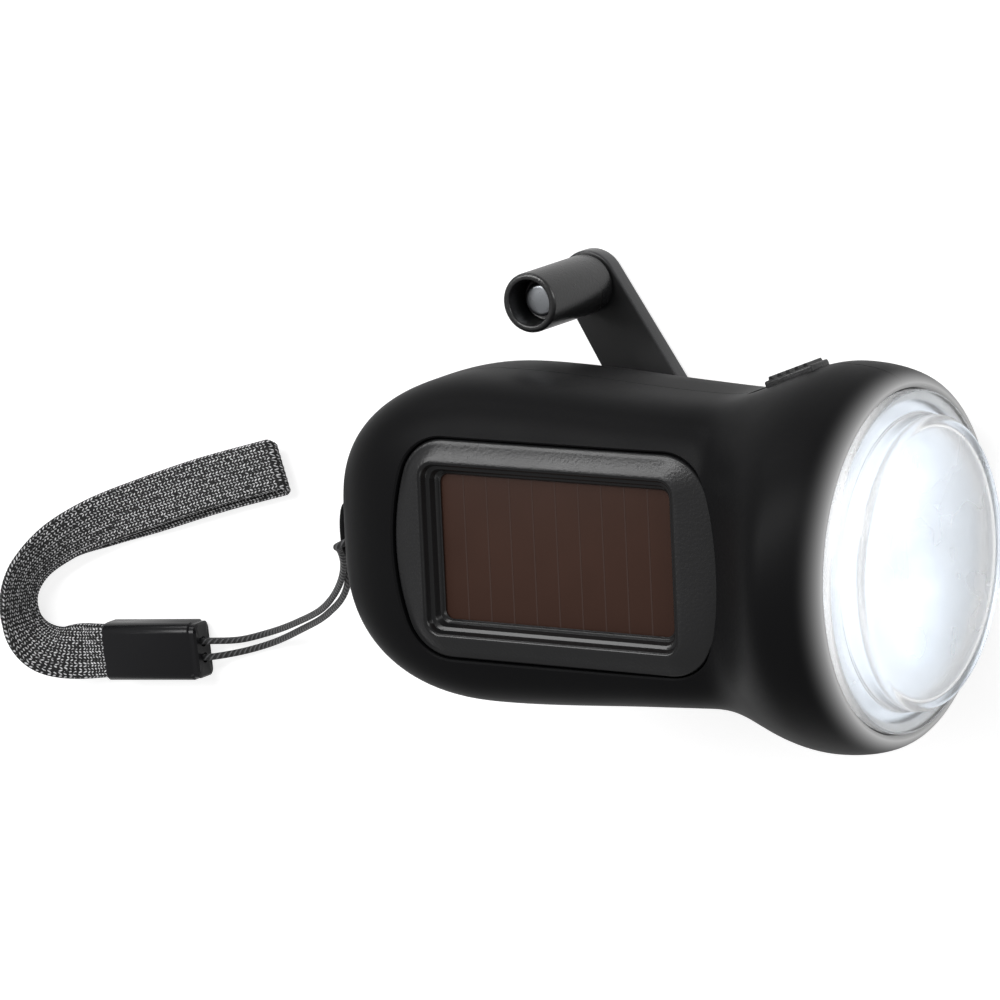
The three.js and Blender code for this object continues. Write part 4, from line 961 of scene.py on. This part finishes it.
class TORCH_OT_lamp_head(bpy.types.Operator):
    """Lens, seal, reflector and lamps"""

    bl_idname = "torch.lamp_head"
    bl_label = "Lamp head"

    def execute(self, context):
        head = context.scene.torch.head
        front = head.back + head.flange
        face = front + head.step
        inner = head.step_radius - head.wall
        inside = [(inner * t, face - head.wall + head.dome * (1 - t * t)) for t in np.linspace(0, 0.9, 10)]
        outside = [(inner * t, face + head.dome * (1 - t * t)) for t in np.linspace(0.9, 0, 10)]
        profile = fillet(
            inside
            + [(inner, face - head.wall), (inner, head.back), (head.radius, head.back), (head.radius, front),
               (head.step_radius, front), (head.step_radius - 0.2 * MM, face)]
            + outside,
            [0] * 10 + [0.8 * MM, 0.3 * MM, 0.25 * MM, 0.4 * MM, 0.5 * MM, 1.1 * MM] + [0] * 10)
        lens = shown("lens_cap", turned(profile, "X", (0, 0), 160))
        dress(lens, "lens", "housing", "lens", "lens")

        back, low, high = head.ledge + GAP, head.radius - GAP - 1.5 * MM, head.radius - GAP
        front = back + 0.8 * MM
        ring = fillet([(low, back), (high, back), (high, front), (low, front)], 0.3 * MM, 4)
        seal = shown("seal_ring", turned(ring, "X", (0, 0), 120))
        dress(seal, "seal", "housing", "seal", "lens_seal", angle=40)

        bowl_front, side = head.ledge - GAP, head.bore - GAP
        bowl_back = bowl_front - head.depth
        lamps = [(head.offset * math.cos(a), head.offset * math.sin(a))
                 for a in (math.pi / 2 + 2 * math.pi * i / 3 for i in range(3))]
        self.reflector(head, bowl_back, bowl_front, side, lamps)

        base = bowl_back - GAP - 1.0 * MM
        tip, collar = base + 7 * MM, head.lamp + 0.4 * MM
        dome = [(head.lamp * math.cos(a), tip - head.lamp + head.lamp * math.sin(a))
                for a in np.linspace(0, math.pi / 2, 12)]
        outline = [(0, base), (collar, base), (collar, base + 0.9 * MM), (head.lamp, base + 1 * MM)] + dome
        for i, spot in enumerate(lamps, 1):
            lamp = shown(f"lamp_dome_{i}", turned(outline, "X", spot, 40))
            dress(lamp, "lamp", "housing", "lamp", f"lamp_{i}")
        return {"FINISHED"}

    def reflector(self, head, back, front, side, lamps):
        disc = fillet([(0, back), (side, back), (side, front), (0, front)], [0, 0.3 * MM, 0.3 * MM, 0], 3)
        reflector = shown("reflector_bowl", turned(disc, "X", (0, 0), 144))
        hole = head.lamp + GAP
        foot = back + head.depth / 6
        dish = [(0, back - 3 * MM), (hole, back - 3 * MM), (hole, foot)]
        for t in np.linspace(0.08, 1, 16):
            r = between(hole, head.well, t)
            dish.append((r, foot + (front - foot) * ((r ** 2 - hole ** 2) / (head.well ** 2 - hole ** 2))))
        slope = (dish[-1][1] - dish[-2][1]) / (dish[-1][0] - dish[-2][0])
        past = 0.4 * MM
        dish += [(head.well + past / slope, front + past), (0, front + past)]
        carved(reflector, *[turned(dish, "X", lamp, 72) for lamp in lamps])

        def unplated(polygon):
            middle = polygon.center - AXIS
            return middle.x < back + 0.1 * MM or math.hypot(middle.y, middle.z) > side - 0.2 * MM

        dress(reflector, "mirror can", "housing", "mirror", "reflector", pick=unplated)


def crank_frame(crank):
    """Turns crank coordinates, with the arm along X, to the torch's."""
    return Matrix.Translation(Vector((crank.hub_at, 0, 0))) @ Matrix.Rotation(crank.angle, 4, "Z")


def slab(outline, z0, z1, edge, steps=5):
    """A plate over an outline with normals, with rounded top and bottom edges."""
    rings = []
    for sign, start in ((-1, z0), (1, z1)):
        for i in range(steps + 1):
            a = math.pi / 2 * (i / steps if sign < 0 else 1 - i / steps)
            by, z = edge * (1 - math.sin(a)), start - sign * edge * (1 - math.cos(a))
            rings.append([(x - nx * by, y - ny * by, z) for x, y, nx, ny in outline])
    return mesh_of(*skin(rings))


def arm_outline(crank, steps=48, side_steps=20, root_steps=10):
    """The arm's tapered outline with a round tip, from its hinge."""
    width = crank.root / 2
    taper = math.asin((width - crank.tip) / crank.arm)
    nx, ny = math.sin(taper), math.cos(taper)
    end_x, end_y = crank.arm + crank.tip * nx, crank.tip * ny
    shares = [i / side_steps for i in range(side_steps)]
    made = [(between(0.0, end_x, t), between(-width, -end_y, t), nx, -ny) for t in shares]
    for i in range(steps + 1):
        a = -math.pi / 2 + taper + (math.pi - 2 * taper) * i / steps
        made.append((crank.arm + crank.tip * math.cos(a), crank.tip * math.sin(a), math.cos(a), math.sin(a)))
    made += [(between(0.0, end_x, t), between(width, end_y, t), nx, ny) for t in reversed(shares)]
    made += [(0.0, between(width, -width, i / root_steps), -1.0, 0.0) for i in range(1, root_steps)]
    return made


class TORCH_OT_crank(bpy.types.Operator):
    """Hub, folding arm, hinge pin, knob and the knob's pin"""

    bl_idname = "torch.crank"
    bl_label = "Crank"

    def execute(self, context):
        torch = context.scene.torch
        crank, shell = torch.crank, torch.shell
        to_torch = crank_frame(crank)
        arm_top = crank.low + crank.thickness
        arm_mid = (crank.low + arm_top) / 2

        def across(outline):
            """A body of revolution about the hinge's axis."""
            return moved(turned(outline, "X", (0, arm_mid), 32), Matrix.Rotation(math.pi / 2, 4, "Z"))

        def bar(radius, reach):
            return across([(0, -reach), (radius, -reach), (radius, reach), (0, reach)])

        def upright(name, outline, radii, steps):
            """A turned piece at the arm's end."""
            return shown(name, moved(turned(fillet(outline, radii, 6), "Z", (crank.arm, 0), steps), to_torch))

        low, disc, shank, top = -shell.head, -shell.rear + HUB_SUNK, 3 * MM, -11.5 * MM
        outline = fillet(
            [(0, low), (crank.hub, low), (crank.hub, disc), (shank, disc), (shank, top), (0, top)],
            [0, 0.7 * MM, 0.2 * MM, 0.2 * MM, 0.3 * MM, 0])
        hub = shown("hub_disc", turned(outline, "Z", (0, 0), 144))
        channel = crank.root / 2 + GAP
        mesh = carved(hub, block(-FAR, FAR, -channel, channel, -FAR, -shell.rear), bar(HINGE_HOLE, FAR))
        moved(mesh, to_torch)
        mesh.materials.append(PAINTS["arm"])
        dress(hub, "", "crank", "shell", "crank_hub")

        arm = shown("arm_blade", slab(arm_outline(crank), crank.low, arm_top, 0.45 * MM))
        mesh = carved(
            arm, bar(HINGE_HOLE, FAR), rod(crank.arm, 0, -FAR, FAR, crank.pin + GAP),
            rod(crank.arm, 0, -FAR, crank.low + 1.5 * MM, 3 * MM),
            union=bar(crank.thickness / 2, crank.root / 2))
        moved(mesh, to_torch)
        # The arm's side faces get the glossy edge finish, whose lighter colour is a painted highlight
        dress(
            arm, "arm arm_edge", "arm", "shell", "crank_arm",
            pick=lambda polygon: abs(polygon.normal.z) < 0.8)

        pin_radius = 0.6 * MM
        reach = math.sqrt(crank.hub ** 2 - pin_radius ** 2) - GAP
        outline = fillet(
            [(0, -reach), (pin_radius, -reach), (pin_radius, reach), (0, reach)],
            [0, 0.2 * MM, 0.2 * MM, 0], 3)
        dress(shown("hinge_pin", moved(across(outline), to_torch)), "steel", "crank", "steel", "arm_pin")

        low, top = arm_top + GAP, arm_top + GAP + crank.knob_length
        cup_floor, bore = top - crank.cup_depth, crank.pin + 0.2 * MM
        knob = upright(
            "knob_grip",
            [(bore, low), (crank.knob, low), (crank.knob, top), (crank.cup, top), (crank.cup, cup_floor),
             (bore, cup_floor)],
            [0.1 * MM, 0.5 * MM, 0.9 * MM, 0.3 * MM, 0.4 * MM, 0.1 * MM], 96)
        dress(knob, "knob", "knob", "knob", "crank_knob")
        low, wide, under, head = crank.low + GAP, 2.7 * MM, crank.low + 1.2 * MM, cup_floor + GAP
        rivet = upright(
            "knob_rivet",
            [(0, low), (wide, low), (wide, under), (crank.pin, under), (crank.pin, head), (wide, head),
             (wide, head + 1.6 * MM), (0, head + 1.6 * MM)],
            [0, 0.4 * MM, 0.1 * MM, 0, 0, 0.1 * MM, 1.0 * MM, 0], 48)
        dress(rivet, "steel", "arm", "steel", "knob_pin")
        return {"FINISHED"}


class TORCH_OT_switch(bpy.types.Operator):
    """The slide switch with its grip ribs"""

    bl_idname = "torch.slide_switch"
    bl_label = "Slide switch"

    def execute(self, context):
        torch = context.scene.torch
        shell, switch = torch.shell, torch.switch
        to_torch = switch_frame(shell, switch)
        half, half_width, edge = switch.length / 2, switch.width / 2, 0.35 * MM
        top = switch.proud - 0.5 * MM
        pad = shown("slide_button", block(-half, half, -shell.wall, top, -half_width, half_width))
        bevel = pad.modifiers.new("edge", "BEVEL")
        bevel.width, bevel.segments, bevel.limit_method = edge, 4, "ANGLE"
        stem = block(-3.5 * MM, -1.5 * MM, -shell.wall - 4 * MM, -shell.wall / 2, -1 * MM, 1 * MM)
        moved(carved(pad, union=stem), to_torch)
        dress(pad, "bezel", "switch", "bezel", "switch_slider")

        rib = switch.length / (2 * switch.ribs + 1)
        wide, narrow = 0.5 * rib, 0.3 * rib
        outline = fillet(
            [(-wide, top - 0.1 * MM), (wide, top - 0.1 * MM), (wide, top), (narrow, switch.proud),
             (-narrow, switch.proud), (-wide, top)],
            [0, 0, 0, 0.15 * MM, 0.15 * MM, 0], 4)
        reach = half_width - edge
        mesh = mesh_of(*skin([[(x, y, z) for x, y in outline] for z in (-reach, reach)]))
        start = (-2 * rib * (switch.ribs // 2), 0, 0)
        ribs = row_of("slide_ribs", mesh, switch.ribs, start, (2 * rib, 0, 0), "bezel")
        moved(ribs.data, to_torch)
        dress(ribs, "", "switch", "bezel")
        return {"FINISHED"}


class TORCH_OT_screws(bpy.types.Operator):
    """Four pan head screws with cross recesses"""

    bl_idname = "torch.screws"
    bl_label = "Screws"

    def execute(self, context):
        shell = context.scene.torch.shell
        head, neck, tip = 2.6 * MM, 1.2 * MM, 4 * MM
        for i, (x, y) in enumerate(SCREWS):
            face = screw_face(shell, x, y)
            under = face + 1.5 * MM
            outline = fillet(
                [(0, face), (head, face), (head, under), (neck, under), (neck, tip), (0, tip)],
                [0, 0.7 * MM, 0.2 * MM, 0, 0.3 * MM, 0])
            piece = shown(f"screw_{i + 1}", turned(outline, "Z", (0, 0), 48))
            bars = []
            for a in (0, math.pi / 2):
                bar = block(-1.45 * MM, 1.45 * MM, -0.3 * MM, 0.3 * MM, face - 1 * MM, face + 0.9 * MM)
                bars.append(moved(bar, Matrix.Rotation(a + 0.6 * i, 4, "Z")))
            moved(carved(piece, *bars), Matrix.Translation(Vector((x, y, 0))))
            dress(piece, "steel", "housing", "steel", f"housing_screw_{i + 1}")
        return {"FINISHED"}


# Routes of the wrist strap, measured from the torch's axis in millimetres
FERRULE_AT, FERRULE_HEADING = (-106.4, -31.6), math.radians(4.5)
LUG_SHIFT, LUG_SUNK = -2, 0.66
STRING_ROUTE = [
    (-99, -29.6, -27.5), (-96.4, -29.4, -27.6), (-91, -29, -28.6), (-85, -27.3, -28.2), (-75.3, -23.5, -22.6),
    (-65.3, -18.7, -15.2), (-57.4, -12.6, -8), (-53.7, -8, -3.4), (-52.45, -5.3, -0.4), (-51.8, -4.6, 1.3),
    (-50.6, -4, 1.75), (-49.4, -3.4, 1.3), (-49, -3, 0), (-49.5, -2.9, -1.4), (-50.8, -3.6, -2.3),
    (-53, -6.4, -4.6), (-57.3, -14.1, -9.4), (-65.6, -20.2, -16.4), (-75.6, -25.1, -23.6), (-85, -29.2, -28.8),
    (-91, -31.1, -29), (-96.4, -32.1, -27.6), (-99, -32.2, -27.5),
]
STRAP_ROUTE = [
    (-111.5, -32.2), (-116.9, -32.6), (-121.9, -33.1), (-127.2, -32.5), (-131, -29.4), (-132.1, -24.8),
    (-129.8, -19.6), (-123.8, -14.5), (-116.2, -10.8), (-106.5, -7.3), (-94.6, -3.2), (-81.3, 0.7),
]
# How far the webbing stands up on its inner edge at those places, in degrees
STRAP_BANKS = [0, 0, 12, 42, 70, 80, 66, 42, 20, 6, 0, 0]
STRING_SPREAD = 1.35 * MM  # each strand from the ferrule's middle
STRING_LAY = 1.6 * MM      # length of one turn of the twist
KNIT_DEPTH = 0.14 * MM
SLIP_SHARE = 0.3           # of the webbing's length, until its layers have slipped


def hermite(a, b, out_of_a, into_b, w):
    """A value on the cubic that leaves a and enters b with the given slopes."""
    return (a + out_of_a * w + (-3 * a + 3 * b - 2 * out_of_a - into_b) * w ** 2
            + (2 * a - 2 * b + out_of_a + into_b) * w ** 3)


def centripetal(points, t):
    """A point on the centripetal Catmull-Rom curve through the points."""
    p = (len(points) - 1) * t
    i = min(int(p), len(points) - 2)
    p1, p2 = points[i], points[i + 1]
    p0 = points[i - 1] if i else 2 * p1 - p2
    p3 = points[i + 2] if i + 2 < len(points) else 2 * p2 - p1
    d0, d1, d2 = (float(np.sum((b - a) ** 2)) ** 0.25 for a, b in ((p0, p1), (p1, p2), (p2, p3)))
    m1 = ((p1 - p0) / d0 - (p2 - p0) / (d0 + d1) + (p2 - p1) / d1) * d1
    m2 = ((p2 - p1) / d1 - (p3 - p1) / (d1 + d2) + (p3 - p2) / d2) * d1
    return hermite(p1, p2, m1, m2, p - i)


def along(route, steps):
    """The curve through a route of millimetre points, sampled evenly in its own measure, in metres."""
    points = [np.array(p, float) * MM for p in route]
    return [centripetal(points, i / steps) for i in range(steps + 1)]


def bank_at(t):
    """How far the webbing stands up at t, as an angle."""
    last = len(STRAP_BANKS) - 1
    p = last * t
    i = min(int(p), last - 1)
    a, b, c, d = (STRAP_BANKS[min(max(k, 0), last)] for k in (i - 1, i, i + 1, i + 2))
    return math.radians(max(0.0, hermite(b, c, (c - a) / 2, (d - b) / 2, p - i)))


def slip_at(strap, t):
    """The two layers slip sideways past each other once they are out of the ferrule."""
    return strap.slip * ease(t / SLIP_SHARE)


def band_frames(strap, shell, steps):
    """Middle, across, normal and tangent of the flattened loop, step by step."""
    up = Vector((0, 0, 1))
    half_width = strap.width / 2
    half_thick = strap.layer + strap.between / 2
    points = along([(x, y, 0) for x, y in STRAP_ROUTE], steps)
    end = FERRULE_AT[0] * MM - strap.ferrule_length / 2
    made = []
    for i, point in enumerate(points):
        before, after = points[max(i - 1, 0)], points[min(i + 1, steps)]
        tangent = Vector(after - before).normalized()
        bank = bank_at(i / steps)
        across = up.cross(tangent).normalized() * math.cos(bank) + up * math.sin(bank)
        normal = tangent.cross(across)
        rise = (half_width + slip_at(strap, i / steps)) * math.sin(bank) + half_thick * math.cos(bank)
        held = ease((point[0] - (end - strap.ferrule_length / 2)) / (strap.ferrule_length / 2))
        middle = Vector(point)
        middle.z = -shell.head + max(rise, between(half_thick, strap.ferrule_height / 2, held))
        made.append((middle, across, normal, tangent))
    return made


class TORCH_OT_wrist_strap(bpy.types.Operator):
    """The lug, the looped string, the ferrule and the webbing loop"""

    bl_idname = "torch.wrist_strap"
    bl_label = "Wrist strap"

    def execute(self, context):
        torch = context.scene.torch
        strap, shell = torch.strap, torch.shell
        self.lug(strap, shell)
        webbing = self.webbing(strap, shell)
        ferrule = self.ferrule(strap, shell)
        self.string(strap, [ferrule, webbing])
        return {"FINISHED"}

    def lug(self, strap, shell):
        half = strap.lug_span / 2 / MM
        feet = shell.butt / MM - LUG_SUNK
        reach = (shell.butt - strap.lug_proud) / MM
        knee = between(feet, reach, 0.75)
        side = [(feet, half), (knee, 0.9 * half), (reach, 0.5 * half)]
        bow = [(x, LUG_SHIFT - y, 0) for x, y in side] + [(x, LUG_SHIFT + y, 0) for x, y in reversed(side)]
        points, faces, _ = tube(along(bow, 60), strap.lug, 24)
        dress(shown("lug_bow", mesh_of(points, faces)), "shell", "housing", "shell", "lanyard_lug", angle=40)

    def string(self, strap, others):
        sides = 14
        route = along(STRING_ROUTE, 330)
        points, faces, runs = tube(route, strap.string / 2, sides)

        def lay(vertex):
            ring, side = divmod(vertex, sides)
            return runs[min(ring, len(runs) - 1)] / STRING_LAY, side / sides * 2

        piece = shown("wrist_string", mapped(mesh_of(points, faces, weld=False), "lay", lay))
        dress(piece, "string", "housing", "string", "strap_string", angle=50)
        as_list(others)

    def webbing(self, strap, shell):
        steps, fold_steps = 420, 16
        frames = band_frames(strap, shell, steps)
        slips = [slip_at(strap, i / steps) for i in range(steps + 1)]
        offset = (strap.layer + strap.between) / 2
        # Out along the lower layer, round the fold, and back along the upper one: (middle, across, outwards)
        walk = [(m - n * offset - a * slip, a, -n) for (m, a, n, _), slip in zip(frames, slips)]
        middle, across, normal, tangent = frames[-1]
        for i in range(1, fold_steps):
            phi = math.pi * i / fold_steps
            out = -normal * math.cos(phi) + tangent * math.sin(phi)
            walk.append((middle + out * offset - across * slips[-1] * math.cos(phi), across, out))
        back = zip(reversed(frames), reversed(slips))
        walk += [(m + n * offset + a * slip, a, n) for (m, a, n, _), slip in back]

        profile = self.profile(strap)
        rings, runs = [], []
        for i, (point, a, out) in enumerate(walk):
            runs.append(runs[-1] + (point - walk[i - 1][0]).length if i else 0.0)
            ring = []
            for w, t in profile:
                # The yarn sinks between the ribs and between the picks, which lie in turn like bricks
                column = math.floor(w / strap.rib + 0.5)
                pick = abs(math.cos(math.pi * (runs[-1] / strap.pick + 0.5 * (column % 2))))
                crest = pick * (0.35 + 0.65 * math.cos(math.pi * (w / strap.rib - column)) ** 2)
                if abs(t) > 0.05 * strap.layer:
                    t -= math.copysign(KNIT_DEPTH * (1 - crest), t)
                ring.append(point + a * w + out * t)
            rings.append(ring)

        def band(vertex):
            ring, column = divmod(vertex, len(profile))
            return (runs[ring], profile[column][0]) if ring < len(runs) else (runs[0], 0)

        piece = shown("wrist_webbing", mapped(mesh_of(*skin(rings), weld=False), "band", band))
        return dress(piece, "webbing", "housing", "webbing", "strap_webbing", angle=60)

    def profile(self, strap, columns=40, bend=6):
        """One layer's section, flat with round edges, as (across, outwards) pairs."""
        half = strap.layer / 2
        flat = strap.width / 2 - half
        made = []
        for side in (1, -1):
            made += [(side * between(-flat, flat, i / columns), side * half) for i in range(columns)]
            for i in range(bend):
                a = math.pi / 2 - math.pi * i / bend
                made.append((side * (flat + half * math.cos(a)), side * half * math.sin(a)))
        return made

    def ferrule(self, strap, shell):
        half, lip = strap.ferrule_length / 2, 1.2 * MM
        y, z = strap.ferrule_width / 2, strap.ferrule_height / 2
        outline = fillet([(y, -z), (y, z), (-y, z), (-y, -z)], [0.9 * MM, 1.7 * MM, 1.1 * MM, 0.9 * MM], 8)
        # Both ends are rounded off, and a lip is marked off by a groove: (place along it, how far drawn in)
        stops = [
            (-half, 0.35 * MM), (-half + 0.1 * MM, 0.12 * MM), (-half + 0.35 * MM, 0.0),
            (half - lip - 0.3 * MM, 0.0), (half - lip, 0.25 * MM), (half - lip + 0.3 * MM, 0.25 * MM),
            (half - 0.35 * MM, 0.25 * MM), (half, 0.6 * MM)]
        rings = [[(x, p * (1 - by / y), q * (1 - by / z)) for p, q in outline] for x, by in stops]
        piece = shown("string_clasp", mesh_of(*skin(rings)))
        opening, thick = strap.width / 2 + GAP, strap.layer + strap.between / 2 + GAP
        slot = block(-half - 2 * MM, 0, -opening, opening, -thick, thick)
        low, high, hole = half - 5 * MM, half + 2 * MM, strap.string / 2 + GAP
        holes = [turned([(0, low), (hole, low), (hole, high), (0, high)], "X", (side * STRING_SPREAD, 0), 24)
                 for side in (-1, 1)]
        mesh = carved(piece, slot, *holes)
        spot = Vector((FERRULE_AT[0] * MM, FERRULE_AT[1] * MM, z - shell.head))
        moved(mesh, Matrix.Translation(spot) @ Matrix.Rotation(FERRULE_HEADING, 4, "Z"))
        return dress(piece, "ferrule", "housing", "shell", "strap_ferrule", angle=40)


# Pieces that keep their own solids, by finish
CARRIED = {
    "nylon": "hub_bush crank_gear idler_gear_1 idler_gear_2 gear_plate rotor_pinion",
    "steel": "idler_axle_1 idler_axle_2 rotor_axle",
    "can": "generator_stator",
    "magnet": "generator_rotor",
    "battery": "battery_cell_1 battery_cell_2 battery_cell_3",
    "arm": "battery_tray switch_body",
    "board": "main_board lamp_board",
}


class TORCH_OT_inside(bpy.types.Operator):
    """Finishes of the gear train, generator, cells and boards, which keep their own solids"""

    bl_idname = "torch.inside"
    bl_label = "Inner pieces"

    def execute(self, context):
        for key, names in CARRIED.items():
            for name in names.split():
                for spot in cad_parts[name].material_slots:
                    spot.material = PAINTS[key]
        return {"FINISHED"}


# Name, place in metres, width and depth in metres, power in watts
LIGHTS = [
    ("key", (-0.6, 0.72, 1.3), (1.5, 0.5), 18.0),
    ("fill", (0.9, -0.8, 0.9), (0.8, 0.8), 2.2),
    ("front", (1.2, 0.5, 0.4), (0.5, 0.8), 5.0),
    ("rear", (-0.7, 1.1, 0.4), (0.8, 0.2), 2.0),
]
LIT_POINT = Vector((0, 0, 0.03))
FLOOR_GREY, FLOOR_GLOW, FLOOR_SHINE = 0.55, 0.76, 0.35
WORLD_LEVEL = 0.32


def seen(tree):
    """1 on rays that show the background, straight or through the lens, and else 0; and the light path."""
    rays = add(tree, "ShaderNodeLightPath").outputs
    return maths(tree, "MAXIMUM", rays["Is Camera Ray"], rays["Is Transmission Ray"]), rays


class TORCH_OT_stage(bpy.types.Operator):
    """Camera, pale floor, soft lamps and world"""

    bl_idname = "torch.stage"
    bl_label = "Stage"

    def execute(self, context):
        scene = context.scene
        scene.view_settings.view_transform = "Standard"
        self.camera(scene, scene.torch.stage)
        self.floor()
        self.world(scene)
        for name, spot, size, power in LIGHTS:
            light = bpy.data.lights.new(name, "AREA")
            light.shape, light.size, light.size_y, light.energy = "RECTANGLE", *size, power
            lamp = shown(name, light)
            lamp.location = spot
            lamp.rotation_euler = (Vector(spot) - LIT_POINT).to_track_quat("Z", "Y").to_euler()
        return {"FINISHED"}

    def camera(self, scene, stage):
        a, e, r = stage.azimuth, stage.height, stage.roll
        away = Vector((math.sin(a) * math.cos(e), math.sin(e), math.cos(a) * math.cos(e)))
        right = Vector((0, 1, 0)).cross(away).normalized()
        up = away.cross(right)
        rolled = right * math.cos(r) + up * math.sin(r)
        upright = up * math.cos(r) - right * math.sin(r)
        lens = bpy.data.cameras.new("camera")
        lens.sensor_width, lens.lens = 36.0, stage.focal
        lens.clip_start, lens.clip_end = 0.1, 20.0
        camera = shown("camera", lens)
        spot = AXIS + rolled * stage.across + upright * stage.along + away * stage.distance
        camera.matrix_world = Matrix.Translation(spot) @ Matrix((rolled, upright, away)).transposed().to_4x4()
        scene.camera = camera

    def floor(self):
        """A matt grey floor that also glows, so that it shows white and is mirrored only faintly."""
        made = bpy.data.materials.new("pale floor")
        made.use_nodes = True
        tree = made.node_tree
        tree.nodes.clear()
        straight, rays = seen(tree)
        shine = maths(tree, "MULTIPLY", rays["Is Glossy Ray"], FLOOR_SHINE)
        level = maths(tree, "MULTIPLY", maths(tree, "MAXIMUM", straight, shine), FLOOR_GLOW)
        grey = (FLOOR_GREY, FLOOR_GREY, FLOOR_GREY, 1.0)
        matt = add(tree, "ShaderNodeBsdfDiffuse", {"Color": grey}).outputs[0]
        glow = add(tree, "ShaderNodeEmission", {"Strength": level}).outputs[0]
        both = add(tree, "ShaderNodeAddShader", {0: matt, 1: glow}).outputs[0]
        add(tree, "ShaderNodeOutputMaterial", {"Surface": both})
        half, low = 4.0, -0.0001
        corners = [(x * half, y * half, low) for x, y in ((-1, -1), (1, -1), (1, 1), (-1, 1))]
        mesh = bpy.data.meshes.new("floor")
        mesh.from_pydata(corners, [], [(0, 1, 2, 3)])
        mesh.materials.append(made)
        shown("floor", mesh)

    def world(self, scene):
        world = bpy.data.worlds.new("studio")
        world.use_nodes = True
        tree = world.node_tree
        tree.nodes.clear()
        level = ranged(tree, seen(tree)[0], WORLD_LEVEL, 1.0)
        back = add(tree, "ShaderNodeBackground", {"Color": linear("#ffffff"), "Strength": level}).outputs[0]
        add(tree, "ShaderNodeOutputWorld", {"Surface": back})
        scene.world = world


OPERATORS = [
    TORCH_OT_stage, TORCH_OT_wrist_strap, TORCH_OT_housing, TORCH_OT_panel, TORCH_OT_lamp_head,
    TORCH_OT_crank, TORCH_OT_switch, TORCH_OT_screws, TORCH_OT_inside,
]


class TORCH_PT_sidebar(bpy.types.Panel):
    """The torch's pieces, listed in the order they are made"""

    bl_idname = "TORCH_PT_sidebar"
    bl_label = "Crank torch"
    bl_space_type = "VIEW_3D"
    bl_region_type = "UI"
    bl_category = "Torch"

    def draw(self, context):
        for kind in OPERATORS:
            self.layout.operator(kind.bl_idname)


CLASSES = [
    ShellSizes, PanelSizes, HeadSizes, CrankSizes, SwitchSizes, StrapSizes, Finishes, StageSettings,
    TorchSettings, *OPERATORS, TORCH_PT_sidebar,
]


def register():
    """Registers the classes and the scene's settings."""
    for kind in CLASSES:
        bpy.utils.register_class(kind)
    bpy.types.Scene.torch = PointerProperty(type=TorchSettings)


def unregister():
    """Takes the settings and classes away again."""
    del bpy.types.Scene.torch
    for kind in reversed(CLASSES):
        bpy.utils.unregister_class(kind)


def main():
    """Builds the torch on its stage."""
    register()
    mix_paints(bpy.context.scene.torch)
    for kind in OPERATORS:
        group, name = kind.bl_idname.split(".")
        getattr(getattr(bpy.ops, group), name)()


if __name__ == "__main__":
    main()
